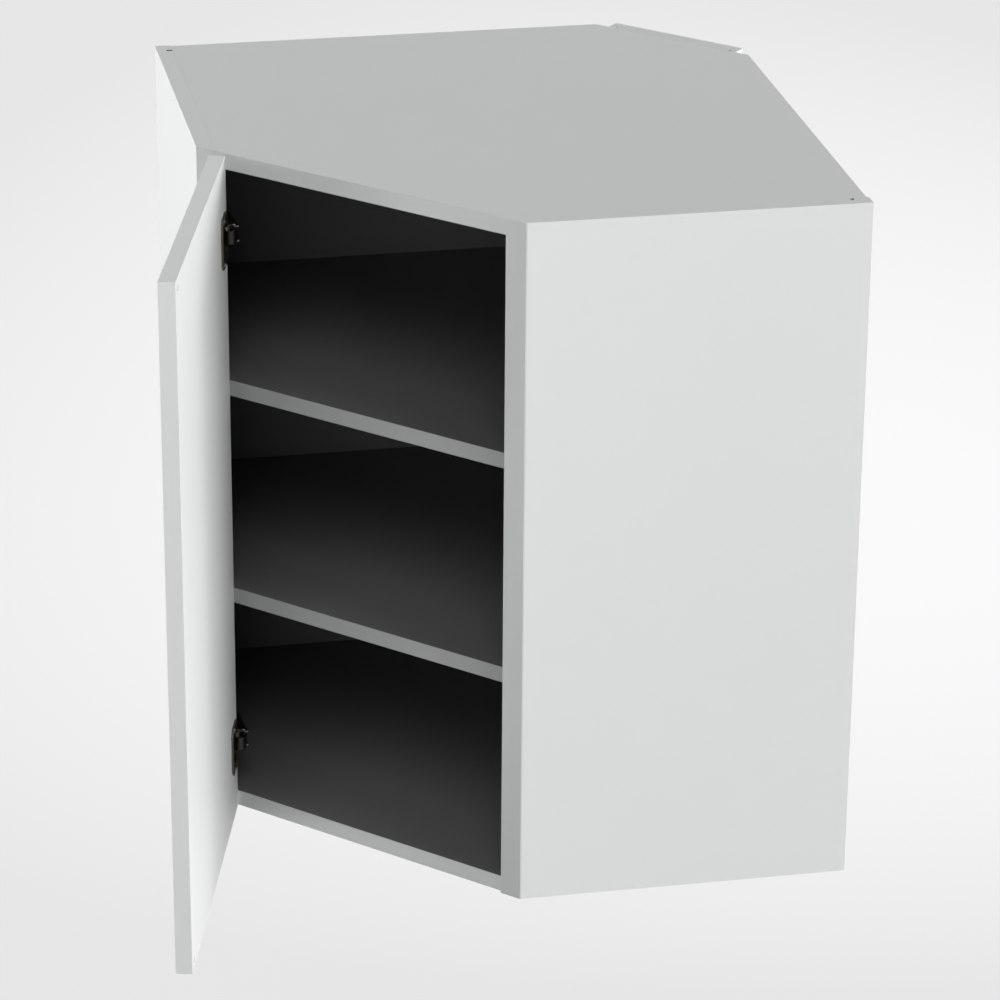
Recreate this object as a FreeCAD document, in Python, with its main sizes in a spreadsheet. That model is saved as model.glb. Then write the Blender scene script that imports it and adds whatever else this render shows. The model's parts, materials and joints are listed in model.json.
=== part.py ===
import FreeCAD, Part
import math
import os
import Sketcher

"""Diagonal corner wall cabinet with one door on two concealed 45-degree hinges.

Lengths are millimetres. +Z is up. The origin is the corner where the two walls
meet, level with the lower ends of the side panels: the back wall is the plane
Y = 0, the right wall is the plane X = 0, and the cabinet stands at negative X and Y.
The diagonal front runs from the left side panel to the right one. Places at the
front are counted along it from the left side panel (along) and out of it (out).
The door is modelled open, as it hangs when the cabinet is shown.
"""

os.makedirs("parts", exist_ok=True)
doc = FreeCAD.newDocument("corner_wall_cabinet")

# ---------------------------------------------------------------- driving dimensions
SIZES = [
    # carcass
    ("wall_run", 600, "length of the cabinet along each wall"),
    ("side_depth", 330, "depth of each side panel at its outer face"),
    ("carcass_height", 704, "height of the side panels"),
    ("board", 16, "thickness of the coated chipboard"),
    ("band", 1, "thickness of the edge bands"),
    ("bottom_raise", 2.5, "bottom panel above the lower ends of the side panels"),
    ("rear_gap", 2.5, "top and bottom panels stop this far short of the walls"),
    ("corner_cut", 137, "where the clipped room corner meets each wall"),
    ("corner_length", 155, "width of the diagonal rear board"),
    ("back_sheet", 3, "thickness of the rear sheets"),
    ("back_inset", 16, "gap between the walls and the rear sheets"),
    ("groove_deep", 6, "depth of the grooves for the rear sheets"),
    ("groove_play", 0.1, "play of a rear sheet in its groove, each side"),
    ("groove_end", 0.5, "space behind a rear sheet's edge in its groove"),
    # shelves
    ("upper_shelf_under", 452, "underside of the upper shelf"),
    ("lower_shelf_under", 228, "underside of the lower shelf"),
    ("shelf_recess", 4, "shelf fronts behind the front plane"),
    ("shelf_play", 1, "gap round a shelf"),
    ("pin_radius", 2.5, "shelf pins and their holes"),
    ("pin_hole_deep", 12, "depth of the shelf pin holes"),
    ("pin_in_side", 10, "length of a shelf pin in the side panel"),
    ("pin_reach", 8, "length of a shelf pin that carries the shelf"),
    ("collar_radius", 4, "collar of a shelf pin"),
    ("collar_thick", 0.8, "collar of a shelf pin"),
    ("row_front", 37, "front row of holes behind a side panel's front edge"),
    ("row_rear", 69, "rear row of holes before the wall"),
    ("row_pitch", 32, "pitch of the holes in a row"),
    # corner joints
    ("cam_radius", 7.5, "cam housings"),
    ("cam_deep", 12.5, "height of a cam housing"),
    ("cam_from_end", 34, "cam centre from the end of the board"),
    ("cam_bolt_radius", 3, "cam bolts"),
    ("cam_bolt_in_side", 11, "part of a cam bolt in the side panel"),
    ("dowel_radius", 4, "wooden dowels"),
    ("dowel_in_side", 11, "part of a dowel in the side panel"),
    ("dowel_in_board", 20, "part of a dowel in the top or bottom panel"),
    ("joint_front", 60, "front cam bolt behind a side panel's front edge"),
    ("joint_rear", 60, "rear cam bolt before the wall"),
    ("dowel_spacing", 32, "dowel beside each cam bolt"),
    ("corner_dowel_spread", 48, "dowels of the diagonal board from its middle"),
    ("bolt_play", 1, "bore round a cam bolt in the top or bottom panel"),
    # hangers
    ("hanger_long", 44, "hanger housing, front to back"),
    ("hanger_tall", 62, "hanger housing, height"),
    ("hanger_thick", 14, "hanger housing, thickness"),
    ("hanger_drop", 6, "hanger housing below the top panel"),
    ("hook_wide", 9, "hook, width"),
    ("hook_steel", 2.5, "hook, thickness of the steel"),
    ("hook_gap", 5, "hook tip before the wall"),
    ("hook_tip", 13, "hook, length of the turned-down tip"),
    ("hook_low", 44, "hook above the foot of its housing"),
    ("hook_in", 24, "part of the hook inside the housing"),
    ("hook_slot_play", 1, "slot in the rear sheet round the hook"),
    ("hanger_screw_radius", 3, "adjusting screws of the hanger"),
    ("hanger_screw_deep", 10, "adjusting screws, length in the housing"),
    ("hanger_screw_spread", 15, "adjusting screws from the middle of the housing"),
    ("stud_spread", 16, "studs from the middle of the housing"),
    ("stud_radius", 5, "studs of a hanger housing in the side panel"),
    ("stud_long", 11, "length of those studs"),
    # door
    ("door_thick", 16, "door"),
    ("door_reveal", 16.42, "from each end of the front to the edge of the closed door"),
    ("door_end_gap", 2, "door short of the side panels at its upper and lower end"),
    ("door_gap", 2, "air between the closed door and the carcass"),
    ("shown_travel", 19.18, "way of the hinge corner along the front, closed to shown"),
    ("shown_out", 0.6, "hinge corner of the open door, out of the front"),
    ("shown_angle", 60, "opening angle that is shown, in degrees"),
    ("bumper_radius", 3, "door bumpers"),
    ("bumper_high", 1.2, "door bumpers above the door"),
    ("bumper_plug_radius", 1.8, "plugs of the bumpers"),
    ("bumper_plug_long", 7, "plugs of the bumpers"),
    ("bumper_from_edge", 12.5, "bumpers from the free edge"),
    ("bumper_from_end", 9.5, "bumpers from the upper and lower edge"),
    # hinges
    ("hinge_from_end", 78, "hinges from the door's upper and lower end"),
    ("cup_edge", 4, "wood between the door's edge and a hinge cup"),
    ("cup_radius", 17.5, "hinge cup and its bore"),
    ("cup_deep", 12.8, "depth of the bore"),
    ("cup_wall", 0.8, "wall of the hinge cup"),
    ("plate_thick", 2, "flange of the hinge cup"),
    ("plate_edge", 6.5, "flange behind the door's edge"),
    ("plate_wide", 36, "flange, across the hinge"),
    ("plate_tall", 52, "flange, height"),
    ("plate_corner", 6, "flange, bevelled corners"),
    ("cup_screw_offset", 9.5, "cup screws behind the cup's centre"),
    ("cup_screw_pitch", 45, "between the two cup screws"),
    ("cup_screw_radius", 1.75, "cup screws"),
    ("cup_screw_long", 12, "cup screws"),
    ("cup_screw_head", 3.4, "heads of the cup screws, radius"),
    ("cup_screw_sunk", 1.4, "heads of the cup screws, let into the flange"),
    ("head_high", 1.6, "height of the screw heads"),
    ("pivot_side", 16, "arm pivot from the left side panel's inner face"),
    ("pivot_ahead", 11, "arm pivot before that face's front edge"),
    ("pole_reach", 11.5, "cup pivot from the door's pole between closed and shown"),
    ("pin_thick", 1.5, "radius of the hinge pins"),
    ("pin_proud", 0.6, "ends of the arm pins, proud of the arm's cheeks"),
    ("cup_pin_half", 13.1, "half length of the pin in a cup"),
    ("pin_running", 0.05, "radial clearance of a link on its pin"),
    ("eye", 2.9, "radius of a link's eyes"),
    ("link_steel", 1.8, "thickness of a link"),
    ("link_half", 6.6, "half width of a link"),
    ("neck_radius", 7, "outer radius of the link's gooseneck"),
    ("neck_along", 7.6, "centre of the gooseneck from the cup pivot"),
    ("neck_off", 4.4, "centre of the gooseneck off the line of the pivots"),
    ("arm_steel", 1.3, "thickness of a hinge arm"),
    ("arm_inner_half", 6.9, "half width inside a hinge arm"),
    ("arm_high", 20, "arm's outer face from the side panel, at its front"),
    ("arm_rear_high", 13, "the same at its rear end"),
    ("arm_foot", 4, "arm's cheeks from the side panel"),
    ("arm_long", 74, "hinge arm, front to back"),
    ("nose", 3.5, "arm before its pivot"),
    ("nose_lip", 11.5, "folded end of the arm, up to here from the side panel"),
    ("nose_gap", 0.8, "arm behind the front plane"),
    ("roof_back", 4.5, "arm's outer wall starts behind the pivot"),
    ("rail_half", 6.2, "half width of the mounting plate's rail"),
    ("rail_front", 26, "rail before the screws of the mounting plate"),
    ("rail_long", 52, "length of the rail"),
    ("wing_thick", 2.2, "wings of the mounting plate"),
    ("wing_long", 16, "wings, front to back"),
    ("wing_tall", 52, "wings, height"),
    ("plate_screw_radius", 2.5, "screws of the mounting plate"),
    ("plate_screw_long", 12, "screws of the mounting plate in the side panel"),
    ("plate_screw_head", 4.2, "heads of those screws, radius"),
    ("arm_screw_radius", 2.9, "screws on a hinge arm"),
    ("arm_screw_head", 3.8, "heads of those screws, radius"),
    ("arm_screw_sunk", 0.4, "heads of those screws, let into the arm"),
    ("arm_screw_long", 8, "screws on a hinge arm"),
    ("arm_screw_pitch", 22, "side screw before the fixing screw"),
]

sheet = doc.addObject("Spreadsheet::Sheet", "Sizes")
for row, (name, size, meaning) in enumerate(SIZES, start=1):
    sheet.set("A%d" % row, name)
    sheet.set("B%d" % row, str(size))
    sheet.set("C%d" % row, meaning)
    sheet.setAlias("B%d" % row, name)
doc.recompute()


def size(name):
    """Value of one driving dimension."""
    return float(sheet.get(name))


def bind(thing, prop, formula):
    """Bind a property to a formula of the sheet's names, each written as [name]."""
    thing.setExpression(prop, formula.replace("[", "Sizes.").replace("]", ""))


ROOT2 = "1.4142135623731"


# ---------------------------------------------------------------- helpers
def outline_body(label, corners, low, thick):
    """Body whose plan outline has the given corners, padded up from the height low."""
    body = doc.addObject("PartDesign::Body", label)
    body.Label = label
    plane = [f for f in body.Origin.OriginFeatures if f.Role == "XY_Plane"][0]
    sketch = body.newObject("Sketcher::SketchObject", label + "_outline")
    sketch.AttachmentSupport = [(plane, "")]
    sketch.MapMode = "FlatFace"
    count = len(corners)
    reach = size("corner_cut")
    turns = [2 * math.pi * i / count for i in range(count)]
    ring = [FreeCAD.Vector(reach * math.cos(turn), reach * math.sin(turn), 0) for turn in turns]
    for i in range(count):
        sketch.addGeometry(Part.LineSegment(ring[i], ring[(i + 1) % count]), False)
    for i in range(count):
        sketch.addConstraint(Sketcher.Constraint("Coincident", i, 2, (i + 1) % count, 1))
    for i, (across, back) in enumerate(corners):
        for kind, formula, start in (("DistanceX", across, ring[i].x), ("DistanceY", back, ring[i].y)):
            mark = sketch.addConstraint(Sketcher.Constraint(kind, -1, 1, i, 1, start or 1.0))
            sketch.renameConstraint(mark, "%s%d" % (kind[-1].lower(), i))
            bind(sketch, "Constraints.%s%d" % (kind[-1].lower(), i), formula)
    pad = body.newObject("PartDesign::Pad", label + "_pad")
    pad.Profile = sketch
    bind(pad, "Length", thick)
    bind(body, "Placement.Base.z", low)
    body.Tip = pad
    sketch.Visibility = False
    return body


def block(name, low_corner, lengths):
    """Box with formulas for its lowest corner and its three lengths."""
    box = doc.addObject("Part::Box", name)
    for prop, formula in zip(("Length", "Width", "Height"), lengths):
        bind(box, prop, formula)
    for axis, formula in zip("xyz", low_corner):
        bind(box, "Placement.Base." + axis, formula)
    return box


TURNS = {
    "+z": FreeCAD.Rotation(),
    "+x": FreeCAD.Rotation(FreeCAD.Vector(0, 1, 0), 90),
    "+y": FreeCAD.Rotation(FreeCAD.Vector(1, 0, 0), -90),
    "-y": FreeCAD.Rotation(FreeCAD.Vector(1, 0, 0), 90),
}
few_sides = 8
more_sides = 12


def rod(name, start, way, radius, length, sides=0):
    """Bar from a start point along one axis: round, or many-sided for what repeats."""
    bar = doc.addObject("Part::Prism" if sides else "Part::Cylinder", name)
    bar.Placement = FreeCAD.Placement(FreeCAD.Vector(), TURNS[way])
    if sides:
        bar.Polygon = sides
    bind(bar, "Circumradius" if sides else "Radius", radius)
    bind(bar, "Height", length)
    for axis, formula in zip("xyz", start):
        bind(bar, "Placement.Base." + axis, formula)
    return bar


def group(name, pieces):
    """Several separate solids as one object."""
    bundle = doc.addObject("Part::Compound", name)
    bundle.Label = name
    bundle.Links = pieces
    return bundle


def cut(label, base, tools):
    """One piece with a set of tools taken out of it."""
    piece = doc.addObject("Part::Cut", label)
    piece.Base = base
    piece.Tool = group(label + "_cuts", tools)
    base.Label = label + "_blank"
    piece.Label = label
    return piece


def fuse(label, pieces):
    """Several solids joined to one."""
    piece = doc.addObject("Part::MultiFuse", label)
    piece.Label = label
    piece.Shapes = pieces
    piece.Refine = True
    return piece


def swapped(points):
    """The same places on the other wall: across and back change places."""
    return [(back, across) for across, back in reversed(points)]


nodes = []


def keep(piece):
    """Put a finished sub-part on the list that is written out."""
    nodes.append(piece)
    return piece


# ---------------------------------------------------------------- carcass boards
# The front plane is the diagonal across + back = -(wall_run + side_depth). A step of
# one thickness square to it changes that sum by the square root of two.
side_in = "-[wall_run] + [board]"
behind_band = "[band] * " + ROOT2
left_outline = [
    ("-[wall_run]", "-[side_depth] + " + behind_band),
    (side_in, "-[side_depth] - [board] + " + behind_band),
    (side_in, "0"),
    ("-[wall_run]", "0"),
]
left_band = [
    ("-[wall_run]", "-[side_depth]"),
    (side_in, "-[side_depth] - [board]"),
    (side_in, "-[side_depth] - [board] + " + behind_band),
    ("-[wall_run]", "-[side_depth] + " + behind_band),
]


def deck_outline(front, side, rear, clip):
    """Six corners of a board between the side panels.

    front: set back of its front edge, square to the front plane; side: gap to the
    side panels; rear: distance from the walls; clip: gap to the diagonal rear board.
    """
    lip = "-[side_depth] - [board] - (%s) + (%s) * %s" % (side, front, ROOT2)
    end = side_in + " + (%s)" % side
    wall = "-(%s)" % rear
    corner = "-[corner_cut] + (%s) - (%s) * %s" % (rear, clip, ROOT2)
    return [(end, lip), (lip, end), (wall, end), (wall, corner), (corner, wall), (end, wall)]


def front_strip(recess):
    """Four corners of the edge band on a board between the side panels."""
    near = "-[side_depth] - [board] + (%s) * %s" % (recess, ROOT2)
    far = near + " + " + behind_band
    return [(side_in, near), (near, side_in), (far, side_in), (side_in, far)]


deck = deck_outline("[band]", "0", "[rear_gap]", "0")
top_low = "[carcass_height] - [board]"
left_blank = outline_body("left_side_blank", left_outline, "0", "[carcass_height]")
right_blank = outline_body("right_side_blank", swapped(left_outline), "0", "[carcass_height]")
top_blank = outline_body("top_blank", deck, top_low, "[board]")
bottom_blank = outline_body("bottom_blank", deck, "[bottom_raise]", "[board]")

# Grooves for the two thin rear sheets, one parallel to each wall.
groove_near = "-[back_inset] - [back_sheet] - [groove_play]"
groove_wide = "[back_sheet] + 2 * [groove_play]"
sheet_end = "-[corner_cut] + [back_inset] + [back_sheet] / 2 + [groove_deep]"
bottom_top = "[bottom_raise] + [board]"


def groove_box(name, hand, low, high):
    """Box along one rear sheet, from a side panel's groove to past the diagonal board."""
    start = side_in + " - [groove_deep]"
    run = "(%s) - (%s)" % (sheet_end, start)
    tall = "(%s) - (%s)" % (high, low)
    if hand == "left":
        return block(name, (start, groove_near, low), (run, groove_wide, tall))
    return block(name, (groove_near, start, low), (groove_wide, run, tall))


# ---------------------------------------------------------------- holes in the boards
door_low = "[door_end_gap]"
door_high = "[carcass_height] - [door_end_gap]"
door_tall = "[carcass_height] - 2 * [door_end_gap]"
door_wide = "([wall_run] - [side_depth]) * %s - 2 * [door_reveal]" % ROOT2
hinge_heights = {
    "upper": door_high + " - [hinge_from_end]",
    "lower": door_low + " + [hinge_from_end]",
}
row_places = {
    "front": "-[side_depth] - [board] + [row_front]",
    "rear": "-[row_rear]",
}
shelf_heights = {"upper": "[upper_shelf_under]", "lower": "[lower_shelf_under]"}
joint_places = {
    "front": "-[side_depth] - [board] + [joint_front]",
    "rear": "-[joint_rear]",
}
joint_steps = {"front": 1, "rear": -1}
deck_lows = {"top": top_low, "bottom": "[bottom_raise]"}
joint_heights = {
    "top": "[carcass_height] - [board] / 2",
    "bottom": "[bottom_raise] + [board] / 2",
}


def on_side(hand, place, height):
    """Point on the inner face of the left or right side panel."""
    if hand == "left":
        return (side_in, place, height)
    return (place, side_in, height)


def out_of_side(hand, name, place, height, radius, in_side, in_room, sides=0):
    """Bar square to a side panel, in_side deep in it and in_room out of its inner face."""
    way = {"left": "+x", "right": "+y"}[hand]
    across, back, up = on_side(hand, place, height)
    if hand == "left":
        across = across + " - (%s)" % in_side
    else:
        back = back + " - (%s)" % in_side
    return rod(name, (across, back, up), way, radius, "(%s) + (%s)" % (in_side, in_room), sides)


def shelf_pin_rods(prefix, hand, in_side, in_room, steps, sides=0):
    """Bars at the shelf pin places of a side panel, at the given steps of the row."""
    rods = []
    for row, place in row_places.items():
        for level, height in shelf_heights.items():
            for step in steps:
                up = "%s - [pin_radius] + %d * [row_pitch]" % (height, step)
                name = "%s_%s_%s_%s_%d" % (prefix, hand, row, level, step + 1)
                rods.append(out_of_side(hand, name, place, up, "[pin_radius]", in_side, in_room, sides))
    return rods


def joint_rods(prefix, kind, hand, level, radius, in_side, in_room):
    """Bars of the two cam bolts or dowels between a side panel and one deck."""
    rods = []
    for end, place in joint_places.items():
        if kind == "dowel":
            place = "%s + %d * [dowel_spacing]" % (place, joint_steps[end])
        name = "%s_%s_%s_%s_%s" % (prefix, kind, hand, level, end)
        rods.append(out_of_side(hand, name, place, joint_heights[level], radius, in_side, in_room, few_sides))
    return rods


def cam_rods(prefix, level):
    """Upright bars of the cam housings, let into a board from below."""
    rods = []
    for hand in ("left", "right"):
        for end, place in joint_places.items():
            across, back, _ = on_side(hand, place, "0")
            if hand == "left":
                across = across + " + [cam_from_end]"
            else:
                back = back + " + [cam_from_end]"
            start = (across, back, deck_lows[level])
            name = "%s_%s_%s_%s" % (prefix, level, hand, end)
            rods.append(rod(name, start, "+z", "[cam_radius]", "[cam_deep]", more_sides))
    return rods


# ---------------------------------------------------------------- hangers
# A housing sits on each side panel under the top panel, against the rear sheet. Its
# hook passes the sheet and is turned down behind it, where a wall rail would be.
hanger_high = top_low + " - [hanger_drop]"
hanger_foot = hanger_high + " - [hanger_tall]"
sheet_face = "-[back_inset] - [back_sheet]"
hook_foot = hanger_foot + " + [hook_low]"
hanger_middle = side_in + " + [hanger_thick] / 2"


def placed(hand, point, lengths):
    """The same box on the left side panel or, with the two walls swapped, on the right."""
    if hand == "left":
        return point, lengths
    return (point[1], point[0], point[2]), (lengths[1], lengths[0], lengths[2])


def hook_boxes(name, hand, play, tall):
    """Strip of the hook from inside the housing to its tip."""
    wide = "[hook_wide] + 2 * (%s)" % play
    start = hanger_middle + " - [hook_wide] / 2 - (%s)" % play
    inner = sheet_face + " - [hook_in]"
    run = "-[hook_gap] - (%s)" % inner
    strip = placed(hand, (start, inner, hook_foot), (wide, run, "[hook_steel]"))
    tip_low = hook_foot + " - [hook_tip]"
    tip = placed(hand, (start, "-[hook_gap] - [hook_steel]", tip_low), (wide, "[hook_steel]", tall))
    return [block(name + "_strip", *strip), block(name + "_tip", *tip)]


def hook_slot(name, hand):
    """Opening in the rear sheet through which the hook is put."""
    start = hanger_middle + " - [hook_wide] / 2 - [hook_slot_play]"
    low = hook_foot + " - [hook_tip] - [hook_slot_play]"
    tall = "[hook_tip] + [hook_steel] + 2 * [hook_slot_play]"
    wide = "[hook_wide] + 2 * [hook_slot_play]"
    deep = "[back_sheet] + 2 * [groove_play]"
    return block(name, *placed(hand, (start, groove_near, low), (wide, deep, tall)))


def stud_rods(name, hand):
    """Studs that hold a hanger housing in the side panel."""
    place = sheet_face + " - [hanger_long] / 2"
    middle = hanger_foot + " + [hanger_tall] / 2"
    rods = []
    for step in (-1, 1):
        up = middle + " + %d * [stud_spread]" % step
        stud = "%s_%d" % (name, step + 1)
        rods.append(out_of_side(hand, stud, place, up, "[stud_radius]", "[stud_long]", "0", few_sides))
    return rods


def hanger_screw_rods(name, hand, head):
    """Adjusting screws let into the front face of a hanger housing."""
    front = sheet_face + " - [hanger_long]"
    rods = []
    for step in (-1, 1):
        up = hanger_foot + " + [hanger_tall] / 2 + %d * [hanger_screw_spread]" % step
        start = (hanger_middle, front, up)
        way = "+y"
        if hand == "right":
            start = (front, hanger_middle, up)
            way = "+x"
        rods.append(rod("%s_%d" % (name, step + 1), start, way, "[hanger_screw_radius]", head, more_sides))
    return rods


# ---------------------------------------------------------------- carcass pieces
HANDS = ("left", "right")
LEVELS = ("top", "bottom")
diagonal = FreeCAD.Rotation(FreeCAD.Vector(0, 0, 1), FreeCAD.Vector(1, 1, 0))
hinge_row = row_places["front"]


def corner_dowel_rods(prefix, level):
    """Dowels between the diagonal rear board and one deck, square to that board."""
    rods = []
    for step in (-1, 1):
        bar = doc.addObject("Part::Prism", "%s_corner_dowel_%s_%d" % (prefix, level, step + 1))
        bar.Placement = FreeCAD.Placement(FreeCAD.Vector(), diagonal)
        bar.Polygon = few_sides
        bind(bar, "Circumradius", "[dowel_radius]")
        bind(bar, "Height", "[dowel_in_board] + [dowel_in_side]")
        middle = "-[corner_cut] / 2 - [dowel_in_board] / " + ROOT2
        bind(bar, "Placement.Base.x", middle + " + %d * [corner_dowel_spread] / %s" % (step, ROOT2))
        bind(bar, "Placement.Base.y", middle + " - %d * [corner_dowel_spread] / %s" % (step, ROOT2))
        bind(bar, "Placement.Base.z", joint_heights[level])
        rods.append(bar)
    return rods


def plate_screw_rods(name, height, radius, in_side, in_room):
    """The two screws of a mounting plate, in the front row of holes."""
    rods = []
    for step in (-1, 1):
        up = "%s + %d * [row_pitch] / 2" % (height, step)
        screw = "%s_%d" % (name, step + 1)
        rods.append(out_of_side("left", screw, hinge_row, up, radius, in_side, in_room, few_sides))
    return rods


def side_tools(hand):
    """All that is taken out of one side panel."""
    tools = [groove_box(hand + "_groove", hand, "0", "[carcass_height]")]
    tools += shelf_pin_rods("spare", hand, "[pin_hole_deep]", "0", (-1, 1))
    tools += shelf_pin_rods("hole", hand, "[pin_in_side]", "0", (0,), few_sides)
    for level in LEVELS:
        tools += joint_rods("hole", "bolt", hand, level, "[cam_bolt_radius]", "[cam_bolt_in_side]", "0")
        tools += joint_rods("hole", "dowel", hand, level, "[dowel_radius]", "[dowel_in_side]", "0")
    tools += stud_rods(hand + "_stud_hole", hand)
    if hand == "left":
        for which, height in hinge_heights.items():
            name = which + "_plate_hole"
            tools += plate_screw_rods(name, height, "[plate_screw_radius]", "[plate_screw_long]", "0")
    return tools


def deck_tools(level):
    """All that is taken out of the top or the bottom panel."""
    low, high = {
        "top": (top_low, top_low + " + [groove_deep]"),
        "bottom": (bottom_top + " - [groove_deep]", bottom_top),
    }[level]
    tools = [groove_box("%s_%s_groove" % (level, hand), hand, low, high) for hand in HANDS]
    for hand in HANDS:
        bore = "[cam_bolt_radius] + [bolt_play]"
        tools += joint_rods("bore", "bolt", hand, level, bore, "0", "[cam_from_end]")
        tools += joint_rods("bore", "dowel", hand, level, "[dowel_radius]", "0", "[dowel_in_board]")
    tools += cam_rods("bore", level)
    tools += corner_dowel_rods("bore", level)
    return tools


keep(cut("left_side_panel", left_blank, side_tools("left")))
keep(cut("right_side_panel", right_blank, side_tools("right")))
keep(cut("top_panel", top_blank, deck_tools("top")))
keep(cut("bottom_panel", bottom_blank, deck_tools("bottom")))

half_run = "[corner_length] / (2 * %s)" % ROOT2
half_cut = "[corner_cut] / 2"
outward = "[board] / " + ROOT2
corner_outline = [
    ("-(%s) - %s" % (half_cut, half_run), "-(%s) + %s" % (half_cut, half_run)),
    ("-(%s) + %s" % (half_cut, half_run), "-(%s) - %s" % (half_cut, half_run)),
    ("-(%s) + %s + %s" % (half_cut, half_run, outward), "-(%s) - %s + %s" % (half_cut, half_run, outward)),
    ("-(%s) - %s + %s" % (half_cut, half_run, outward), "-(%s) + %s + %s" % (half_cut, half_run, outward)),
]
corner_blank = outline_body("corner_blank", corner_outline, "0", "[carcass_height]")
corner_tools = [groove_box("corner_%s_groove" % hand, hand, "0", "[carcass_height]") for hand in HANDS]
for level in LEVELS:
    corner_tools += corner_dowel_rods("hole", level)
keep(cut("corner_board", corner_blank, corner_tools))

for hand in HANDS:
    start = side_in + " - [groove_deep] + [groove_end]"
    low = bottom_top + " - [groove_deep] + [groove_end]"
    run = "(%s) - (%s) - [groove_end]" % (sheet_end, start)
    tall = "(%s) + [groove_deep] - [groove_end] - (%s)" % (top_low, low)
    rear = block(hand + "_sheet_blank", *placed(hand, (start, sheet_face, low), (run, "[back_sheet]", tall)))
    keep(cut("back_board_" + hand, rear, [hook_slot(hand + "_hook_slot", hand)]))

shelf_edge = deck_outline(
    "[shelf_recess] + [band]",
    "[shelf_play]",
    "[back_inset] + [back_sheet] + [shelf_play]",
    "[shelf_play]",
)
for which, height in shelf_heights.items():
    keep(outline_body(which + "_shelf", shelf_edge, height, "[board]"))
    shelf_strip = front_strip("[shelf_recess]")
    strip_body = outline_body(which + "_shelf_edge", shelf_strip, height, "[board]")
    ends = [
        block(
            which + "_trim_left",
            (side_in, "-[wall_run]", height),
            ("[shelf_play]", "[wall_run]", "[board]"),
        ),
        block(
            which + "_trim_right",
            ("-[wall_run]", side_in, height),
            ("[wall_run]", "[shelf_play]", "[board]"),
        ),
    ]
    keep(cut(which + "_shelf_band", strip_body, ends))

bands = [
    outline_body("left_side_edge", left_band, "0", "[carcass_height]"),
    outline_body("right_side_edge", swapped(left_band), "0", "[carcass_height]"),
]
keep(group("side_bands", bands))
keep(outline_body("top_band", front_strip("0"), top_low, "[board]"))
keep(outline_body("bottom_band", front_strip("0"), "[bottom_raise]", "[board]"))

# ---------------------------------------------------------------- fittings of the carcass
pins = []
for hand in HANDS:
    stems = shelf_pin_rods("stem", hand, "[pin_in_side]", "[pin_reach]", (0,), few_sides)
    for stem, (row, level) in zip(stems, [(r, v) for r in row_places for v in shelf_heights]):
        up = shelf_heights[level] + " - [pin_radius]"
        name = "collar_%s_%s_%s" % (hand, row, level)
        collar = out_of_side(
            hand,
            name,
            row_places[row],
            up,
            "[collar_radius]",
            "0",
            "[collar_thick]",
            more_sides,
        )
        pins.append(fuse("shelf_pin_%s_%s_%s" % (hand, row, level), [stem, collar]))
keep(group("shelf_pins", pins))

cams = []
bolts = []
dowels = []
for level in LEVELS:
    channels = []
    for hand in HANDS:
        side = "[cam_bolt_in_side]"
        bolts += joint_rods("shank", "bolt", hand, level, "[cam_bolt_radius]", side, "[cam_from_end]")
        channels += joint_rods("channel", "bolt", hand, level, "[cam_bolt_radius]", "0", "[cam_from_end]")
        dowels += joint_rods(
            "pin",
            "dowel",
            hand,
            level,
            "[dowel_radius]",
            "[dowel_in_side]",
            "[dowel_in_board]",
        )
    dowels += corner_dowel_rods("pin", level)
    for i, (housing, channel) in enumerate(zip(cam_rods("housing", level), channels)):
        cams.append(cut("cam_%s_%d" % (level, i), housing, [channel]))
keep(group("cam_housings", cams))
keep(group("cam_bolts", bolts))
keep(group("dowels", dowels))

adjusters = []
for hand in HANDS:
    front = sheet_face + " - [hanger_long]"
    shell = block(
        hand + "_hanger_shell",
        *placed(hand, (side_in, front, hanger_foot), ("[hanger_thick]", "[hanger_long]", "[hanger_tall]"))
    )
    body = fuse(hand + "_hanger_body", [shell] + stud_rods(hand + "_stud", hand))
    strip = hook_boxes(hand + "_hook_room", hand, "0", "[hook_tip] + [hook_steel]")
    wells = hanger_screw_rods(hand + "_hanger_well", hand, "[hanger_screw_deep]")
    keep(cut(hand + "_hanger", body, strip + wells))
    keep(fuse(hand + "_hanger_hook", hook_boxes(hand + "_hook", hand, "0", "[hook_tip] + [hook_steel]")))
    adjusters += hanger_screw_rods(hand + "_hanger_screw", hand, "[hanger_screw_deep]")
keep(group("hanger_screws", adjusters))

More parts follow.
